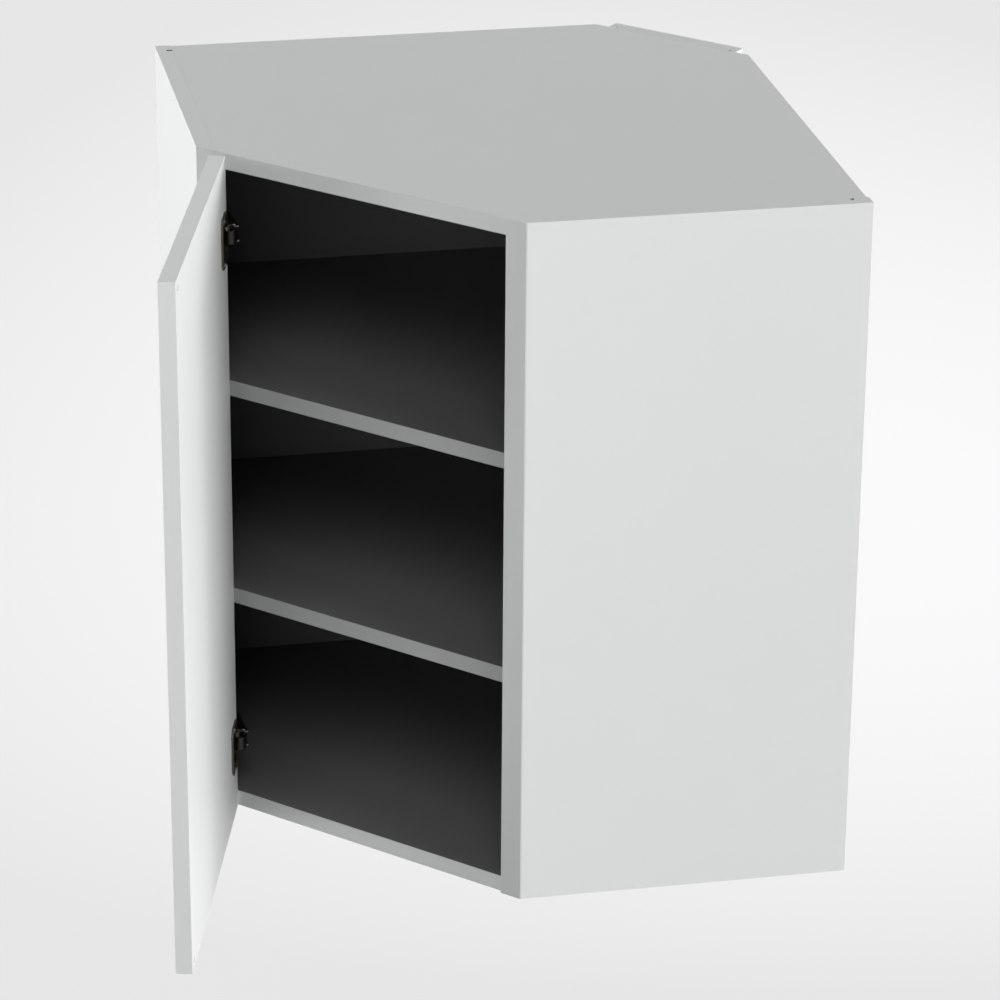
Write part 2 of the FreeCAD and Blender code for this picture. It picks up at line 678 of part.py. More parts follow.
# ---------------------------------------------------------------- hinge geometry
# The door turns and travels on a link: the arm pivot stays on the carcass, the cup
# pivot goes with the door. Closed and shown place of the door share one pole; the cup
# pivot lies on a circle round it, so that one link length serves both places.
# Every place below is in front coordinates: (along, out).
PLACES = [
    ("shown_along", "[door_reveal] + [shown_travel]"),
    ("half_tan", "tan([shown_angle] / 2)"),
    ("pole_along", "[door_reveal] + [shown_travel] / 2 + ([door_gap] - [shown_out]) / (2 * @half_tan)"),
    ("pole_out", "([door_gap] + [shown_out]) / 2 + [shown_travel] / (2 * @half_tan)"),
    ("arm_along", "(2 * [board] + [pivot_side] + [pivot_ahead]) / sqrt(2)"),
    ("arm_out", "([pivot_ahead] - [pivot_side]) / sqrt(2)"),
    ("pole_turn", "atan2(@arm_out - @pole_out; @arm_along - @pole_along) / 1 deg - [shown_angle] / 2"),
    ("closed_cup_along", "@pole_along + [pole_reach] * cos(@pole_turn)"),
    ("closed_cup_out", "@pole_out + [pole_reach] * sin(@pole_turn)"),
    ("cup_pin_across", "@closed_cup_along - [door_reveal]"),
    ("cup_pin_deep", "@closed_cup_out - [door_gap]"),
    ("shown_cup_along", "@pole_along + [pole_reach] * cos(@pole_turn + [shown_angle])"),
    ("shown_cup_out", "@pole_out + [pole_reach] * sin(@pole_turn + [shown_angle])"),
    ("link_long", "sqrt((@shown_cup_along - @arm_along)^2 + (@shown_cup_out - @arm_out)^2)"),
    ("closed_turn", "atan2(@closed_cup_out - @arm_out; @closed_cup_along - @arm_along) / 1 deg"),
    ("shown_turn", "atan2(@shown_cup_out - @arm_out; @shown_cup_along - @arm_along) / 1 deg"),
]
places = doc.addObject("Spreadsheet::Sheet", "Places")
for row, (name, formula) in enumerate(PLACES, start=1):
    places.set("A%d" % row, name)
    places.set("B%d" % row, "=" + formula.replace("[", "Sizes.").replace("]", "").replace("@", ""))
    places.setAlias("B%d" % row, name)
doc.recompute()


def follow_door(piece):
    """Give a piece drawn in the door's frame the place of the open door.

    The frame starts at the inner hinge corner: X along the door to its free edge,
    -Y through the door to its outer face, Z up from the carcass's lower end.
    """
    bind(piece, "Placement.Base.x", "(Places.shown_along - [shown_out]) / sqrt(2) - [wall_run]")
    bind(piece, "Placement.Base.y", "-(Places.shown_along + [shown_out]) / sqrt(2) - [side_depth]")
    bind(piece, "Placement.Rotation.Angle", "-45 - [shown_angle]")
    return piece


def follow_link(piece, height):
    """Give a piece drawn in the link's frame the place it has with the door shown open.

    The frame starts on the cup pivot, X points to the arm pivot, Z is up.
    """
    bind(piece, "Placement.Base.x", "(Places.shown_cup_along - Places.shown_cup_out) / sqrt(2) - [wall_run]")
    bind(
        piece,
        "Placement.Base.y",
        "-(Places.shown_cup_along + Places.shown_cup_out) / sqrt(2) - [side_depth]",
    )
    bind(piece, "Placement.Base.z", height)
    bind(piece, "Placement.Rotation.Angle", "-225 - Places.shown_turn")
    return piece


def slab(name, across, through, half):
    """Box symmetrical to the hinge's middle plane: spans in X and Y, half height."""
    lengths = (
        "(%s) - (%s)" % (across[1], across[0]),
        "(%s) - (%s)" % (through[1], through[0]),
        "2 * (%s)" % half,
    )
    return block(name, (across[0], through[0], "-(%s)" % half), lengths)


# ---------------------------------------------------------------- hinges on the carcass
pivot_across = side_in + " + [pivot_side]"
pivot_back = "-[side_depth] - [board] - [pivot_ahead]"
arm_sole = side_in + " + [arm_foot]"
arm_front = pivot_back + " - [nose]"
arm_rear = arm_front + " + [arm_long]"
bevel_sum = "-[wall_run] - [side_depth] + [nose_gap] * " + ROOT2
fold_sum = bevel_sum + " + [arm_steel] * " + ROOT2
lip = side_in + " + [nose_lip]"
cheek_half = "[arm_inner_half] + [arm_steel]"


def arm_face(back):
    """Outer face of an arm, which leans towards the side panel going back."""
    lean = "([arm_high] - [arm_rear_high]) / [arm_long]"
    return side_in + " + [arm_high] - %s * ((%s) - (%s))" % (lean, back, arm_front)


arm_outline = [
    ("%s - (%s)" % (bevel_sum, arm_front), arm_front),
    (arm_face(arm_front), arm_front),
    (arm_face(arm_rear), arm_rear),
    (arm_sole, arm_rear),
    (arm_sole, "%s - (%s)" % (bevel_sum, arm_sole)),
]
arm_room_outline = [
    (lip, arm_front),
    (arm_face(arm_front) + " - [arm_steel]", arm_front),
    (arm_face(arm_rear) + " - [arm_steel]", arm_rear),
    (arm_sole, arm_rear),
    (arm_sole, "%s - (%s)" % (fold_sum, arm_sole)),
    (lip, "%s - (%s)" % (fold_sum, lip)),
]
rail_front = hinge_row + " - [rail_front]"
rail_rear = rail_front + " + [rail_long]"
rail_outline = [
    (side_in, rail_front),
    (arm_face(rail_front) + " - [arm_steel]", rail_front),
    (arm_face(rail_rear) + " - [arm_steel]", rail_rear),
    (side_in, rail_rear),
]


def arm_screw_rods(name, height, radius, inward, outward, sides):
    """Fixing screw and side screw of an arm, from inward to outward of its outer face."""
    rods = []
    for i, back in enumerate((hinge_row, hinge_row + " - [arm_screw_pitch]")):
        start = (arm_face(back) + " - (%s)" % inward, back, height)
        rods.append(rod("%s_%d" % (name, i), start, "+x", radius, "(%s) + (%s)" % (inward, outward), sides))
    return rods


plate_screws = []
arm_screws = []
arm_pins = []
for which, height in hinge_heights.items():
    rail = outline_body(which + "_rail", rail_outline, "%s - [rail_half]" % height, "2 * [rail_half]")
    wing_start = (side_in, hinge_row + " - [wing_long] / 2", "%s - [wing_tall] / 2" % height)
    wings = block(which + "_wings", wing_start, ("[wing_thick]", "[wing_long]", "[wing_tall]"))
    plate = fuse(which + "_plate_body", [rail, wings])
    tools = plate_screw_rods(which + "_plate_bore", height, "[plate_screw_radius]", "0", "[wing_thick]")
    shank = (height, "[arm_screw_radius]", "[arm_screw_long]", "0", few_sides)
    tools += arm_screw_rods(which + "_rail_bore", *shank)
    keep(cut(which + "_mounting_plate", plate, tools))

    shanks = plate_screw_rods(
        which + "_shank",
        height,
        "[plate_screw_radius]",
        "[plate_screw_long]",
        "[wing_thick]",
    )
    for i, plain in enumerate(shanks):
        up = "%s + %d * [row_pitch] / 2" % (height, 2 * i - 1)
        start = (side_in + " + [wing_thick]", hinge_row, up)
        head = rod("%s_head_%d" % (which, i), start, "+x", "[plate_screw_head]", "[head_high]", more_sides)
        plate_screws.append(fuse("%s_plate_screw_%d" % (which, i), [plain, head]))

    low = "%s - (%s)" % (height, cheek_half)
    shell = outline_body(which + "_arm_shell", arm_outline, low, "2 * (%s)" % cheek_half)
    room_low = "%s - [arm_inner_half]" % height
    room = outline_body(which + "_arm_room", arm_room_outline, room_low, "2 * [arm_inner_half]")
    mouth_start = (lip, arm_front, room_low)
    mouth_size = ("[arm_high] - [nose_lip]", "[nose] + [roof_back]", "2 * [arm_inner_half]")
    mouth = block(which + "_arm_mouth", mouth_start, mouth_size)
    bore = rod(
        which + "_arm_bore",
        (pivot_across, pivot_back, low),
        "+z",
        "[pin_thick]",
        "2 * (%s)" % cheek_half,
    )
    tools = arm_screw_rods(which + "_arm_screw_bore", *shank)
    sunk = (height, "[arm_screw_head]", "[arm_screw_sunk]", "[head_high]", more_sides)
    tools += arm_screw_rods(which + "_arm_screw_seat", *sunk)
    keep(cut(which + "_hinge_arm", shell, [room, mouth, bore] + tools))

    pin_start = (pivot_across, pivot_back, low + " - [pin_proud]")
    pin_long = "2 * (%s) + 2 * [pin_proud]" % cheek_half
    arm_pins.append(rod(which + "_arm_pin", pin_start, "+z", "[pin_thick]", pin_long))
    stems = arm_screw_rods(which + "_arm_stem", *shank)
    heads = arm_screw_rods(which + "_arm_head", *sunk)
    for i, (stem, head) in enumerate(zip(stems, heads)):
        arm_screws.append(fuse("%s_arm_screw_%d" % (which, i), [stem, head]))
keep(group("mounting_plate_screws", plate_screws))
keep(group("hinge_arm_screws", arm_screws))
keep(group("hinge_arm_pins", arm_pins))

# ---------------------------------------------------------------- links
# A link is a steel strip with an eye rolled at each end. Between them it is bent to a
# gooseneck, which lets the edge of the door pass while it swings.
link_pin = "Places.link_long"
bow_off = "-[neck_off]"
bow_near = "[neck_along] - [neck_radius]"
bow_far = "[neck_along] + [neck_radius]"
for which, height in hinge_heights.items():
    centre = ("[neck_along]", bow_off, "-[link_half]")
    wide = "2 * [link_half]"
    outer = rod(which + "_bow_outer", centre, "+z", "[neck_radius]", wide)
    inner = rod(which + "_bow_inner", centre, "+z", "[neck_radius] - [link_steel]", wide)
    below = slab(
        which + "_bow_half",
        (bow_near, bow_far),
        (bow_off, bow_off + " + [neck_radius]"),
        "[link_half]",
    )
    bow = cut(which + "_bow", outer, [fuse(which + "_bow_hollow", [inner, below])])
    near_leg = slab(
        which + "_near_leg",
        (bow_near, bow_near + " + [link_steel]"),
        (bow_off, "0"),
        "[link_half]",
    )
    far_leg = slab(which + "_far_leg", (bow_far + " - [link_steel]", bow_far), (bow_off, "0"), "[link_half]")
    foot = slab(
        which + "_far_foot",
        (bow_far + " - [link_steel]", link_pin),
        ("-[eye]", "-[eye] + [link_steel]"),
        "[link_half]",
    )
    near_eye = rod(which + "_near_eye", ("0", "0", "-[link_half]"), "+z", "[eye]", wide)
    far_eye = rod(which + "_far_eye", (link_pin, "0", "-[link_half]"), "+z", "[eye]", wide)
    strip = fuse(which + "_link_strip", [bow, near_leg, far_leg, foot, near_eye, far_eye])
    hole = "[pin_thick] + [pin_running]"
    holes = [
        rod(which + "_near_hole", ("0", "0", "-[link_half]"), "+z", hole, wide),
        rod(which + "_far_hole", (link_pin, "0", "-[link_half]"), "+z", hole, wide),
    ]
    keep(follow_link(cut(which + "_hinge_link", strip, holes), height))

# ---------------------------------------------------------------- door
# Drawn in the door's own frame and hung as one.
cup_across = "[cup_edge] + [cup_radius]"
free_edge = door_wide


def into_door(name, across, height, radius, start, length, sides=0):
    """Bar through the door's inner face, from a start above it towards the outer face."""
    return rod(name, (across, start, height), "-y", radius, length, sides)


def cup_screw_rods(name, height, radius, start, length, sides=few_sides):
    """The two screws in the flange of a hinge cup."""
    across = cup_across + " + [cup_screw_offset]"
    rods = []
    for step in (-1, 1):
        up = "%s + %d * [cup_screw_pitch] / 2" % (height, step)
        rods.append(into_door("%s_%d" % (name, step + 1), across, up, radius, start, length, sides))
    return rods


bumper_across = free_edge + " - [bumper_from_edge]"
bumper_heights = (door_low + " + [bumper_from_end]", door_high + " - [bumper_from_end]")
core = block(
    "door_core",
    ("[band]", "-[door_thick]", door_low + " + [band]"),
    (door_wide + " - 2 * [band]", "[door_thick]", door_tall + " - 2 * [band]"),
)
door_tools = []
for which, height in hinge_heights.items():
    door_tools.append(into_door(which + "_cup_bore", cup_across, height, "[cup_radius]", "0", "[cup_deep]"))
    door_tools += cup_screw_rods(
        which + "_cup_screw_hole",
        height,
        "[cup_screw_radius]",
        "0",
        "[cup_screw_long]",
    )
for i, height in enumerate(bumper_heights):
    name = "bumper_hole_%d" % i
    plug = ("[bumper_plug_radius]", "0", "[bumper_plug_long]", few_sides)
    door_tools.append(into_door(name, bumper_across, height, *plug))
keep(follow_door(cut("door_panel", core, door_tools)))

side_strips = []
for name, start in (("hinge", "0"), ("free", free_edge + " - [band]")):
    corner = (start, "-[door_thick]", door_low)
    side_strips.append(block(name + "_edge_strip", corner, ("[band]", "[door_thick]", door_tall)))
keep(follow_door(group("door_side_bands", side_strips)))
end_strips = []
for name, start in (("lower", door_low), ("upper", door_high + " - [band]")):
    corner = ("[band]", "-[door_thick]", start)
    strip = block(
        name + "_edge_strip",
        corner,
        (door_wide + " - 2 * [band]", "[door_thick]", "[band]"),
    )
    end_strips.append(strip)
keep(follow_door(group("door_end_bands", end_strips)))

cup_pins = []
cup_screws = []
for which, height in hinge_heights.items():
    flange_low = "%s - [plate_tall] / 2" % height
    flange = block(
        which + "_flange",
        ("[plate_edge]", "0", flange_low),
        ("[plate_wide]", "[plate_thick]", "[plate_tall]"),
    )
    bevelled = doc.addObject("Part::Chamfer", which + "_flange_bevelled")
    bevelled.Base = flange
    doc.recompute()
    upright = []
    for i, edge in enumerate(flange.Shape.Edges, start=1):
        way = edge.Vertexes[1].Point - edge.Vertexes[0].Point
        if abs(way.y) > 0.5 * way.Length:
            upright.append((i, size("plate_corner"), size("plate_corner")))
    bevelled.Edges = upright
    bowl = into_door(which + "_bowl", cup_across, height, "[cup_radius]", "0", "[cup_deep]")
    cup = fuse(which + "_cup_body", [bevelled, bowl])
    hollow = ("[cup_radius] - [cup_wall]", "[plate_thick]", "[cup_deep] - [cup_wall] + [plate_thick]")
    shank = (
        "[cup_screw_radius]",
        "[plate_thick] - [cup_screw_sunk]",
        "[cup_screw_long] + [plate_thick] - [cup_screw_sunk]",
    )
    head = ("[cup_screw_head]", "[plate_thick]", "[cup_screw_sunk]")
    tools = [into_door(which + "_cup_hollow", cup_across, height, *hollow)]
    tools += cup_screw_rods(which + "_flange_bore", height, *shank)
    tools += cup_screw_rods(which + "_flange_seat", height, *head, more_sides)
    pin_start = ("Places.cup_pin_across", "-Places.cup_pin_deep", "%s - [cup_pin_half]" % height)
    tools.append(rod(which + "_cup_pin_bore", pin_start, "+z", "[pin_thick]", "2 * [cup_pin_half]"))
    keep(follow_door(cut(which + "_hinge_cup", cup, tools)))

    cup_pins.append(rod(which + "_cup_pin", pin_start, "+z", "[pin_thick]", "2 * [cup_pin_half]"))
    stems = cup_screw_rods(which + "_cup_stem", height, *shank)
    heads = cup_screw_rods(which + "_cup_head", height, *head, more_sides)
    for i, (stem, top) in enumerate(zip(stems, heads)):
        cup_screws.append(fuse("%s_cup_screw_%d" % (which, i), [stem, top]))
keep(follow_door(group("hinge_cup_pins", cup_pins)))
keep(follow_door(group("hinge_cup_screws", cup_screws)))

bumpers = []
for i, height in enumerate(bumper_heights):
    stem = into_door("bumper_plug_%d" % i, bumper_across, height, *plug)
    pad = ("[bumper_radius]", "[bumper_high]", "[bumper_high]", more_sides)
    bumpers.append(fuse("bumper_%d" % i, [stem, into_door("bumper_pad_%d" % i, bumper_across, height, *pad)]))
keep(follow_door(group("door_bumpers", bumpers)))

# ---------------------------------------------------------------- check and write
doc.recompute()
for thing in doc.Objects:
    if "Invalid" in thing.State or "Error" in thing.State:
        raise RuntimeError("%s did not build: %s" % (thing.Label, thing.State))
for piece in nodes:
    if piece.Shape.isNull() or not piece.Shape.isValid() or not piece.Shape.Solids:
        raise RuntimeError("%s has no sound shape" % piece.Label)
    piece.Shape.exportStep("parts/%s.step" % piece.Label)
    box = piece.Shape.BoundBox
    print(
        "%-24s %2d solids %12.0f mm3  x %.1f..%.1f y %.1f..%.1f z %.1f..%.1f"
        % (
            piece.Label,
            len(piece.Shape.Solids),
            piece.Shape.Volume,
            box.XMin,
            box.XMax,
            box.YMin,
            box.YMax,
            box.ZMin,
            box.ZMax,
        )
    )
for name, _ in PLACES:
    print("%-18s %.5f" % (name, float(places.get(name))))
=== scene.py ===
# %% [markdown]
# # Corner wall cabinet
#
# A diagonal corner cabinet for a kitchen wall: white coated chipboard outside, a dark
# lining inside, two loose shelves and one flat door on concealed hinges. The imported CAD
# model is the fixed frame. This lesson gives each part of it its finish, adds the small
# turned and pressed forms that the plain solids leave out, and lights the whole thing
# like a catalogue picture.
#
# The frame is loaded first. Nothing that is added later may grow out of that box.

# %% Load the frame
import json
import math

import bmesh
import bpy
import numpy as np
from mathutils import Matrix, Vector

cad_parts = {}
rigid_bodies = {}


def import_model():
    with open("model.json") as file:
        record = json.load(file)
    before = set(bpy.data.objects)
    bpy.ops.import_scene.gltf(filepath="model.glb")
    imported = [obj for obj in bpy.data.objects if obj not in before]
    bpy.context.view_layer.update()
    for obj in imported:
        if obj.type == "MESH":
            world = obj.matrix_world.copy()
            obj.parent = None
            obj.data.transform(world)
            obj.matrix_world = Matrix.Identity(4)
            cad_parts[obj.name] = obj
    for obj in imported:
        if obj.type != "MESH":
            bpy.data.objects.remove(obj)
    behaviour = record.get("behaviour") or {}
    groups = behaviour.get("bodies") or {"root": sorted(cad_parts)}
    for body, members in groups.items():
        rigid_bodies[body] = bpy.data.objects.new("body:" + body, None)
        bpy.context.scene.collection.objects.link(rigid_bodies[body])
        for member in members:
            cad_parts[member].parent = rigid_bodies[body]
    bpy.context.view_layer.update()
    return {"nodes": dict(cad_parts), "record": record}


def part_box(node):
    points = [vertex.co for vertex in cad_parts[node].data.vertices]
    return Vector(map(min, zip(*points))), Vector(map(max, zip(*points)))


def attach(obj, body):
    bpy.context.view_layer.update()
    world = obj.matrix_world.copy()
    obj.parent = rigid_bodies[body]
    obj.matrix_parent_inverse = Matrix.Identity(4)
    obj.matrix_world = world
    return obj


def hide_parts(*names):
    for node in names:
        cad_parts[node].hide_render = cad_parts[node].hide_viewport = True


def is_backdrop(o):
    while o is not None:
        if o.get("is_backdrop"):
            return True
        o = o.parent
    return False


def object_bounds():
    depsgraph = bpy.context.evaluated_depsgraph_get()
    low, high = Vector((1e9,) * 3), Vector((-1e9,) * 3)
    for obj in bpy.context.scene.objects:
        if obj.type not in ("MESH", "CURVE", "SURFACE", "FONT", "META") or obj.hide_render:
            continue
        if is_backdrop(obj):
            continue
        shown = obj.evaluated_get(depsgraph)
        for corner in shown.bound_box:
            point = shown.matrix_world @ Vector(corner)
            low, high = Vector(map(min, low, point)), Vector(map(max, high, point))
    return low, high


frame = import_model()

nodes = frame["nodes"]
print("pieces from the frame:", len(nodes))

MM = 0.001

# %% [markdown]
# ## Camera
#
# The camera stands about 3.6 m in front of the cabinet, a little to its left and above
# it, and looks down by 23 degrees. A long lens at that distance keeps the upright edges
# almost parallel. The three view angles are turned into a rotation matrix directly: the
# rows of the matrix are the camera's right, up and backward directions, so no helper
# object has to be tracked.

# %% Place the camera
CAMERA_PLACE = (-1.07345, -4.20526, 2.01664)
CAMERA_YAW = 0.19727
CAMERA_DOWN = 0.40760
CAMERA_ROLL = -0.00745
CAMERA_LENS = 153.016


def view_axes(yaw, down, roll):
    """Right, up and backward unit vectors of a camera.

    The view direction is +Y turned by yaw about Z and lowered by down. The level right
    vector and the down vector are then turned together by roll about that direction.
    """
    ahead = np.array(
        [math.sin(yaw) * math.cos(down), math.cos(yaw) * math.cos(down), -math.sin(down)]
    )
    level = np.array([math.cos(yaw), -math.sin(yaw), 0.0])
    below = np.cross(ahead, level)
    right = math.cos(roll) * level + math.sin(roll) * below
    under = -math.sin(roll) * level + math.cos(roll) * below
    return right, -under, -ahead


camera_data = bpy.data.cameras.new("camera")
camera_data.lens = CAMERA_LENS
camera_data.sensor_width = 36.0
camera_data.clip_end = 60.0
camera = bpy.data.objects.new("camera", camera_data)
bpy.context.scene.collection.objects.link(camera)
axes = np.array(view_axes(CAMERA_YAW, CAMERA_DOWN, CAMERA_ROLL)).T
turn = Matrix([list(row) for row in axes])
camera.matrix_world = Matrix.Translation(CAMERA_PLACE) @ turn.to_4x4()
bpy.context.scene.camera = camera
print("camera looks along", [round(float(v), 3) for v in -axes[:, 2]])

# %% [markdown]
# ## A helper for node trees
#
# Every finish below is a small node tree. Writing each node with its links in one call
# keeps the trees readable: `add` makes a node, sets its values by name and links the
# sockets it is given.


# %% Node helper
def add(tree, kind, values=None, links=None, **settings):
    """Make one node: settings are its own properties, values fill sockets by name or
    number, and links join sockets of other nodes to its inputs."""
    node = tree.nodes.new(kind)
    for key, value in settings.items():
        setattr(node, key, value)
    for key, value in (values or {}).items():
        node.inputs[key].default_value = value
    for key, source in (links or {}).items():
        tree.links.new(source, node.inputs[key])
    return node


def maths(tree, operation, *terms, clamp=False):
    """A Math node whose terms are numbers or sockets."""
    node = tree.nodes.new("ShaderNodeMath")
    node.operation = operation
    node.use_clamp = clamp
    for i, term in enumerate(terms):
        if isinstance(term, (int, float)):
            node.inputs[i].default_value = term
        else:
            tree.links.new(term, node.inputs[i])
    return node.outputs[0]


def new_material(name):
    """An empty material with its output node."""
    material = bpy.data.materials.new(name)
    material.use_nodes = True
    tree = material.node_tree
    tree.nodes.clear()
    out = tree.nodes.new("ShaderNodeOutputMaterial")
    return material, tree, out


def dress(material, *names):
    """Give CAD nodes a material by filling their slots."""
    for name in names:
        thing = nodes[name]
        if not thing.material_slots:
            thing.data.materials.append(material)
        for material_slot in thing.material_slots:
            material_slot.material = material


# %% [markdown]
# ## Effects that several finishes share
#
# Coated board, moulded plastic and plated steel all show the same three things when
# they are looked at closely: a slow drift of tone over a hand's width, a fine texture
# that breaks up reflections, and rubbed edges. Each effect is built once as a node
# group with named inputs, and each finish places it with its own values.


# %% Node group: drift of tone
def make_group(name, inputs, outputs):
    """A node group with float, colour or vector sockets."""
    group = bpy.data.node_groups.new(name, "ShaderNodeTree")
    for label, kind, default in inputs:
        socket = group.interface.new_socket(label, in_out="INPUT", socket_type=kind)
        if default is not None:
            socket.default_value = default
    for label, kind in outputs:
        group.interface.new_socket(label, in_out="OUTPUT", socket_type=kind)
    start = group.nodes.new("NodeGroupInput")
    end = group.nodes.new("NodeGroupOutput")
    return group, start, end


def tone_drift():
    """Colour times 1 plus or minus a slow noise, and roughness plus the same noise."""
    group, start, end = make_group(
        "tone drift",
        [
            ("Color", "NodeSocketColor", (0.8, 0.8, 0.8, 1.0)),
            ("Amount", "NodeSocketFloat", 0.03),
            ("Scale", "NodeSocketFloat", 6.0),
            ("Roughness", "NodeSocketFloat", 0.4),
            ("Roughness Amount", "NodeSocketFloat", 0.06),
        ],
        [("Color", "NodeSocketColor"), ("Roughness", "NodeSocketFloat")],
    )
    place = add(group, "ShaderNodeTexCoord")
    noise = add(
        group,
        "ShaderNodeTexNoise",
        {"Detail": 4.0, "Roughness": 0.55},
        {"Vector": place.outputs["Object"], "Scale": start.outputs["Scale"]},
    )
    swing = maths(group, "MULTIPLY_ADD", noise.outputs["Fac"], 2.0, -1.0)
    factor = maths(group, "MULTIPLY_ADD", swing, start.outputs["Amount"], 1.0)
    tinted = add(
        group,
        "ShaderNodeVectorMath",
        operation="SCALE",
        links={0: start.outputs["Color"], "Scale": factor},
    )
    rough = maths(
        group,
        "MULTIPLY_ADD",
        swing,
        start.outputs["Roughness Amount"],
        start.outputs["Roughness"],
    )
    group.links.new(tinted.outputs[0], end.inputs["Color"])
    group.links.new(rough, end.inputs["Roughness"])
    return group


def fine_texture():
    """Height of a pressed or cast surface: fine noise over a coarser, softer one."""
    group, start, end = make_group(
        "fine texture",
        [
            ("Scale", "NodeSocketFloat", 900.0),
            ("Coarse Scale", "NodeSocketFloat", 120.0),
            ("Coarse Share", "NodeSocketFloat", 0.4),
        ],
        [("Height", "NodeSocketFloat")],
    )
    place = add(group, "ShaderNodeTexCoord")
    fine = add(
        group,
        "ShaderNodeTexNoise",
        {"Detail": 2.0, "Roughness": 0.6},
        {"Vector": place.outputs["Object"], "Scale": start.outputs["Scale"]},
    )
    coarse = add(
        group,
        "ShaderNodeTexNoise",
        {"Detail": 3.0, "Roughness": 0.5},
        {"Vector": place.outputs["Object"], "Scale": start.outputs["Coarse Scale"]},
    )
    height = maths(
        group,
        "MULTIPLY_ADD",
        coarse.outputs["Fac"],
        start.outputs["Coarse Share"],
        fine.outputs["Fac"],
    )
    group.links.new(height, end.inputs["Height"])
    return group


def edge_rub():
    """1 on outward edges, 0 on flat faces: how far a rounded normal leaves the true one."""
    group, start, end = make_group(
        "edge rub",
        [
            ("Radius", "NodeSocketFloat", 0.6 * MM),
            ("Breakup Scale", "NodeSocketFloat", 300.0),
            ("Strength", "NodeSocketFloat", 1.0),
        ],
        [("Mask", "NodeSocketFloat")],
    )
    radius = {"Radius": start.outputs["Radius"]}
    round_normal = add(group, "ShaderNodeBevel", samples=4, links=radius)
    flat = add(group, "ShaderNodeNewGeometry")
    likeness = add(
        group,
        "ShaderNodeVectorMath",
        operation="DOT_PRODUCT",
        links={0: round_normal.outputs[0], 1: flat.outputs["True Normal"]},
    )
    place = add(group, "ShaderNodeTexCoord")
    noise = add(
        group,
        "ShaderNodeTexNoise",
        {"Detail": 3.0},
        {"Vector": place.outputs["Object"], "Scale": start.outputs["Breakup Scale"]},
    )
    bend = maths(group, "SUBTRACT", 1.0, likeness.outputs["Value"])
    scaled = maths(group, "MULTIPLY", bend, 6.0, clamp=True)
    broken = maths(group, "MULTIPLY", scaled, noise.outputs["Fac"])
    mask = maths(group, "MULTIPLY", broken, start.outputs["Strength"], clamp=True)
    group.links.new(mask, end.inputs["Mask"])
    return group


DRIFT = tone_drift()
TEXTURE = fine_texture()
RUB = edge_rub()
print("shared effects:", [g.name for g in (DRIFT, TEXTURE, RUB)])


def place_group(tree, group, values=None, links=None):
    """Put a shared effect into a material."""
    return add(tree, "ShaderNodeGroup", values, links, node_tree=group)


# %% [markdown]
# ## White coated board
#
# The outside of the carcass and both faces of the door are chipboard pressed with a
# white melamine film. The film is slightly cool, nearly matt and has a very fine pearl
# texture. On the carcass only the outside is white: the inner faces carry a dark
# charcoal film. Which face a point lies on follows from its place, so the material
# measures the distance of the point past a plane along a given direction and switches
# films there. The grooves for the rear sheets are cut after the film is pressed on, so raw
# chipboard shows in them; its colour is darkened far below that of chipboard to paint the shade
# inside the narrow grooves. It is found in the same way, from the point's place. The front edges
# carry glued bands: white ones on the carcass and the door, and a grey one on each shelf. The
# carcass bands are a darkened copy of the white film, painted shade on the front edges, and the
# door's bands a lightened one, painted light on its edges. The shelf bands' grey is darkened to
# paint the shade in their recess.

# %% Values of the films
WHITE_FILM = (0.80, 0.822, 0.815, 1.0)
DARK_FILM = (0.158, 0.160, 0.160, 1.0)
# painted shade: raw chipboard darkened far below its own tan, for the shade inside the narrow
# grooves
CHIPBOARD_IN_SHADE = (0.06, 0.052, 0.045, 1.0)
# painted shade: the shelf bands' grey is darkened for the shade on the recessed shelf fronts
SHADED_GREY_FILM = (0.37, 0.38, 0.375, 1.0)
# painted shade: the carcass bands are the white film darkened for the dim light on the front edges
SHADED_BAND_FILM = (0.71, 0.73, 0.723, 1.0)
DOOR_FILM = (0.815, 0.832, 0.826, 1.0)
# painted light: the door bands are the white film lightened for the strong light on the door's
# edges
LIT_DOOR_BAND_FILM = (0.88, 0.895, 0.89, 1.0)
WHITE_ROUGHNESS = 0.55
DARK_ROUGHNESS = 0.38
BAND_ROUGHNESS = 0.34
BOARD_DRIFT = 0.015
DOOR_DRIFT = 0.012
DARK_DRIFT = 0.06
BAND_DRIFT = 0.01
FILM_GLOSS = 0.22
BOARD_BUMP = 0.04 * MM
BAND_BUMP = 0.01 * MM
FILM_EDGE = 0.05 * MM


def film_shader(tree, out, colour, roughness, drift_amount, bump_height):
    """Principled shader with drifting tone and a fine pressed texture."""
    drift = place_group(
        tree,
        DRIFT,
        {"Amount": drift_amount, "Scale": 5.0, "Roughness": roughness, "Roughness Amount": 0.05},
        {"Color": colour} if not isinstance(colour, tuple) else None,
    )
    if isinstance(colour, tuple):
        drift.inputs["Color"].default_value = colour
    grain = {"Scale": 1500.0, "Coarse Scale": 240.0, "Coarse Share": 0.5}
    texture = place_group(tree, TEXTURE, grain)
    bump = add(
        tree,
        "ShaderNodeBump",
        {"Strength": 0.25, "Distance": bump_height},
        {"Height": texture.outputs["Height"]},
    )
    shader = add(
        tree,
        "ShaderNodeBsdfPrincipled",
        {"Specular IOR Level": FILM_GLOSS},
        {
            "Base Color": drift.outputs["Color"],
            "Roughness": drift.outputs["Roughness"],
            "Normal": bump.outputs["Normal"],
        },
    )
    tree.links.new(shader.outputs[0], out.inputs["Surface"])


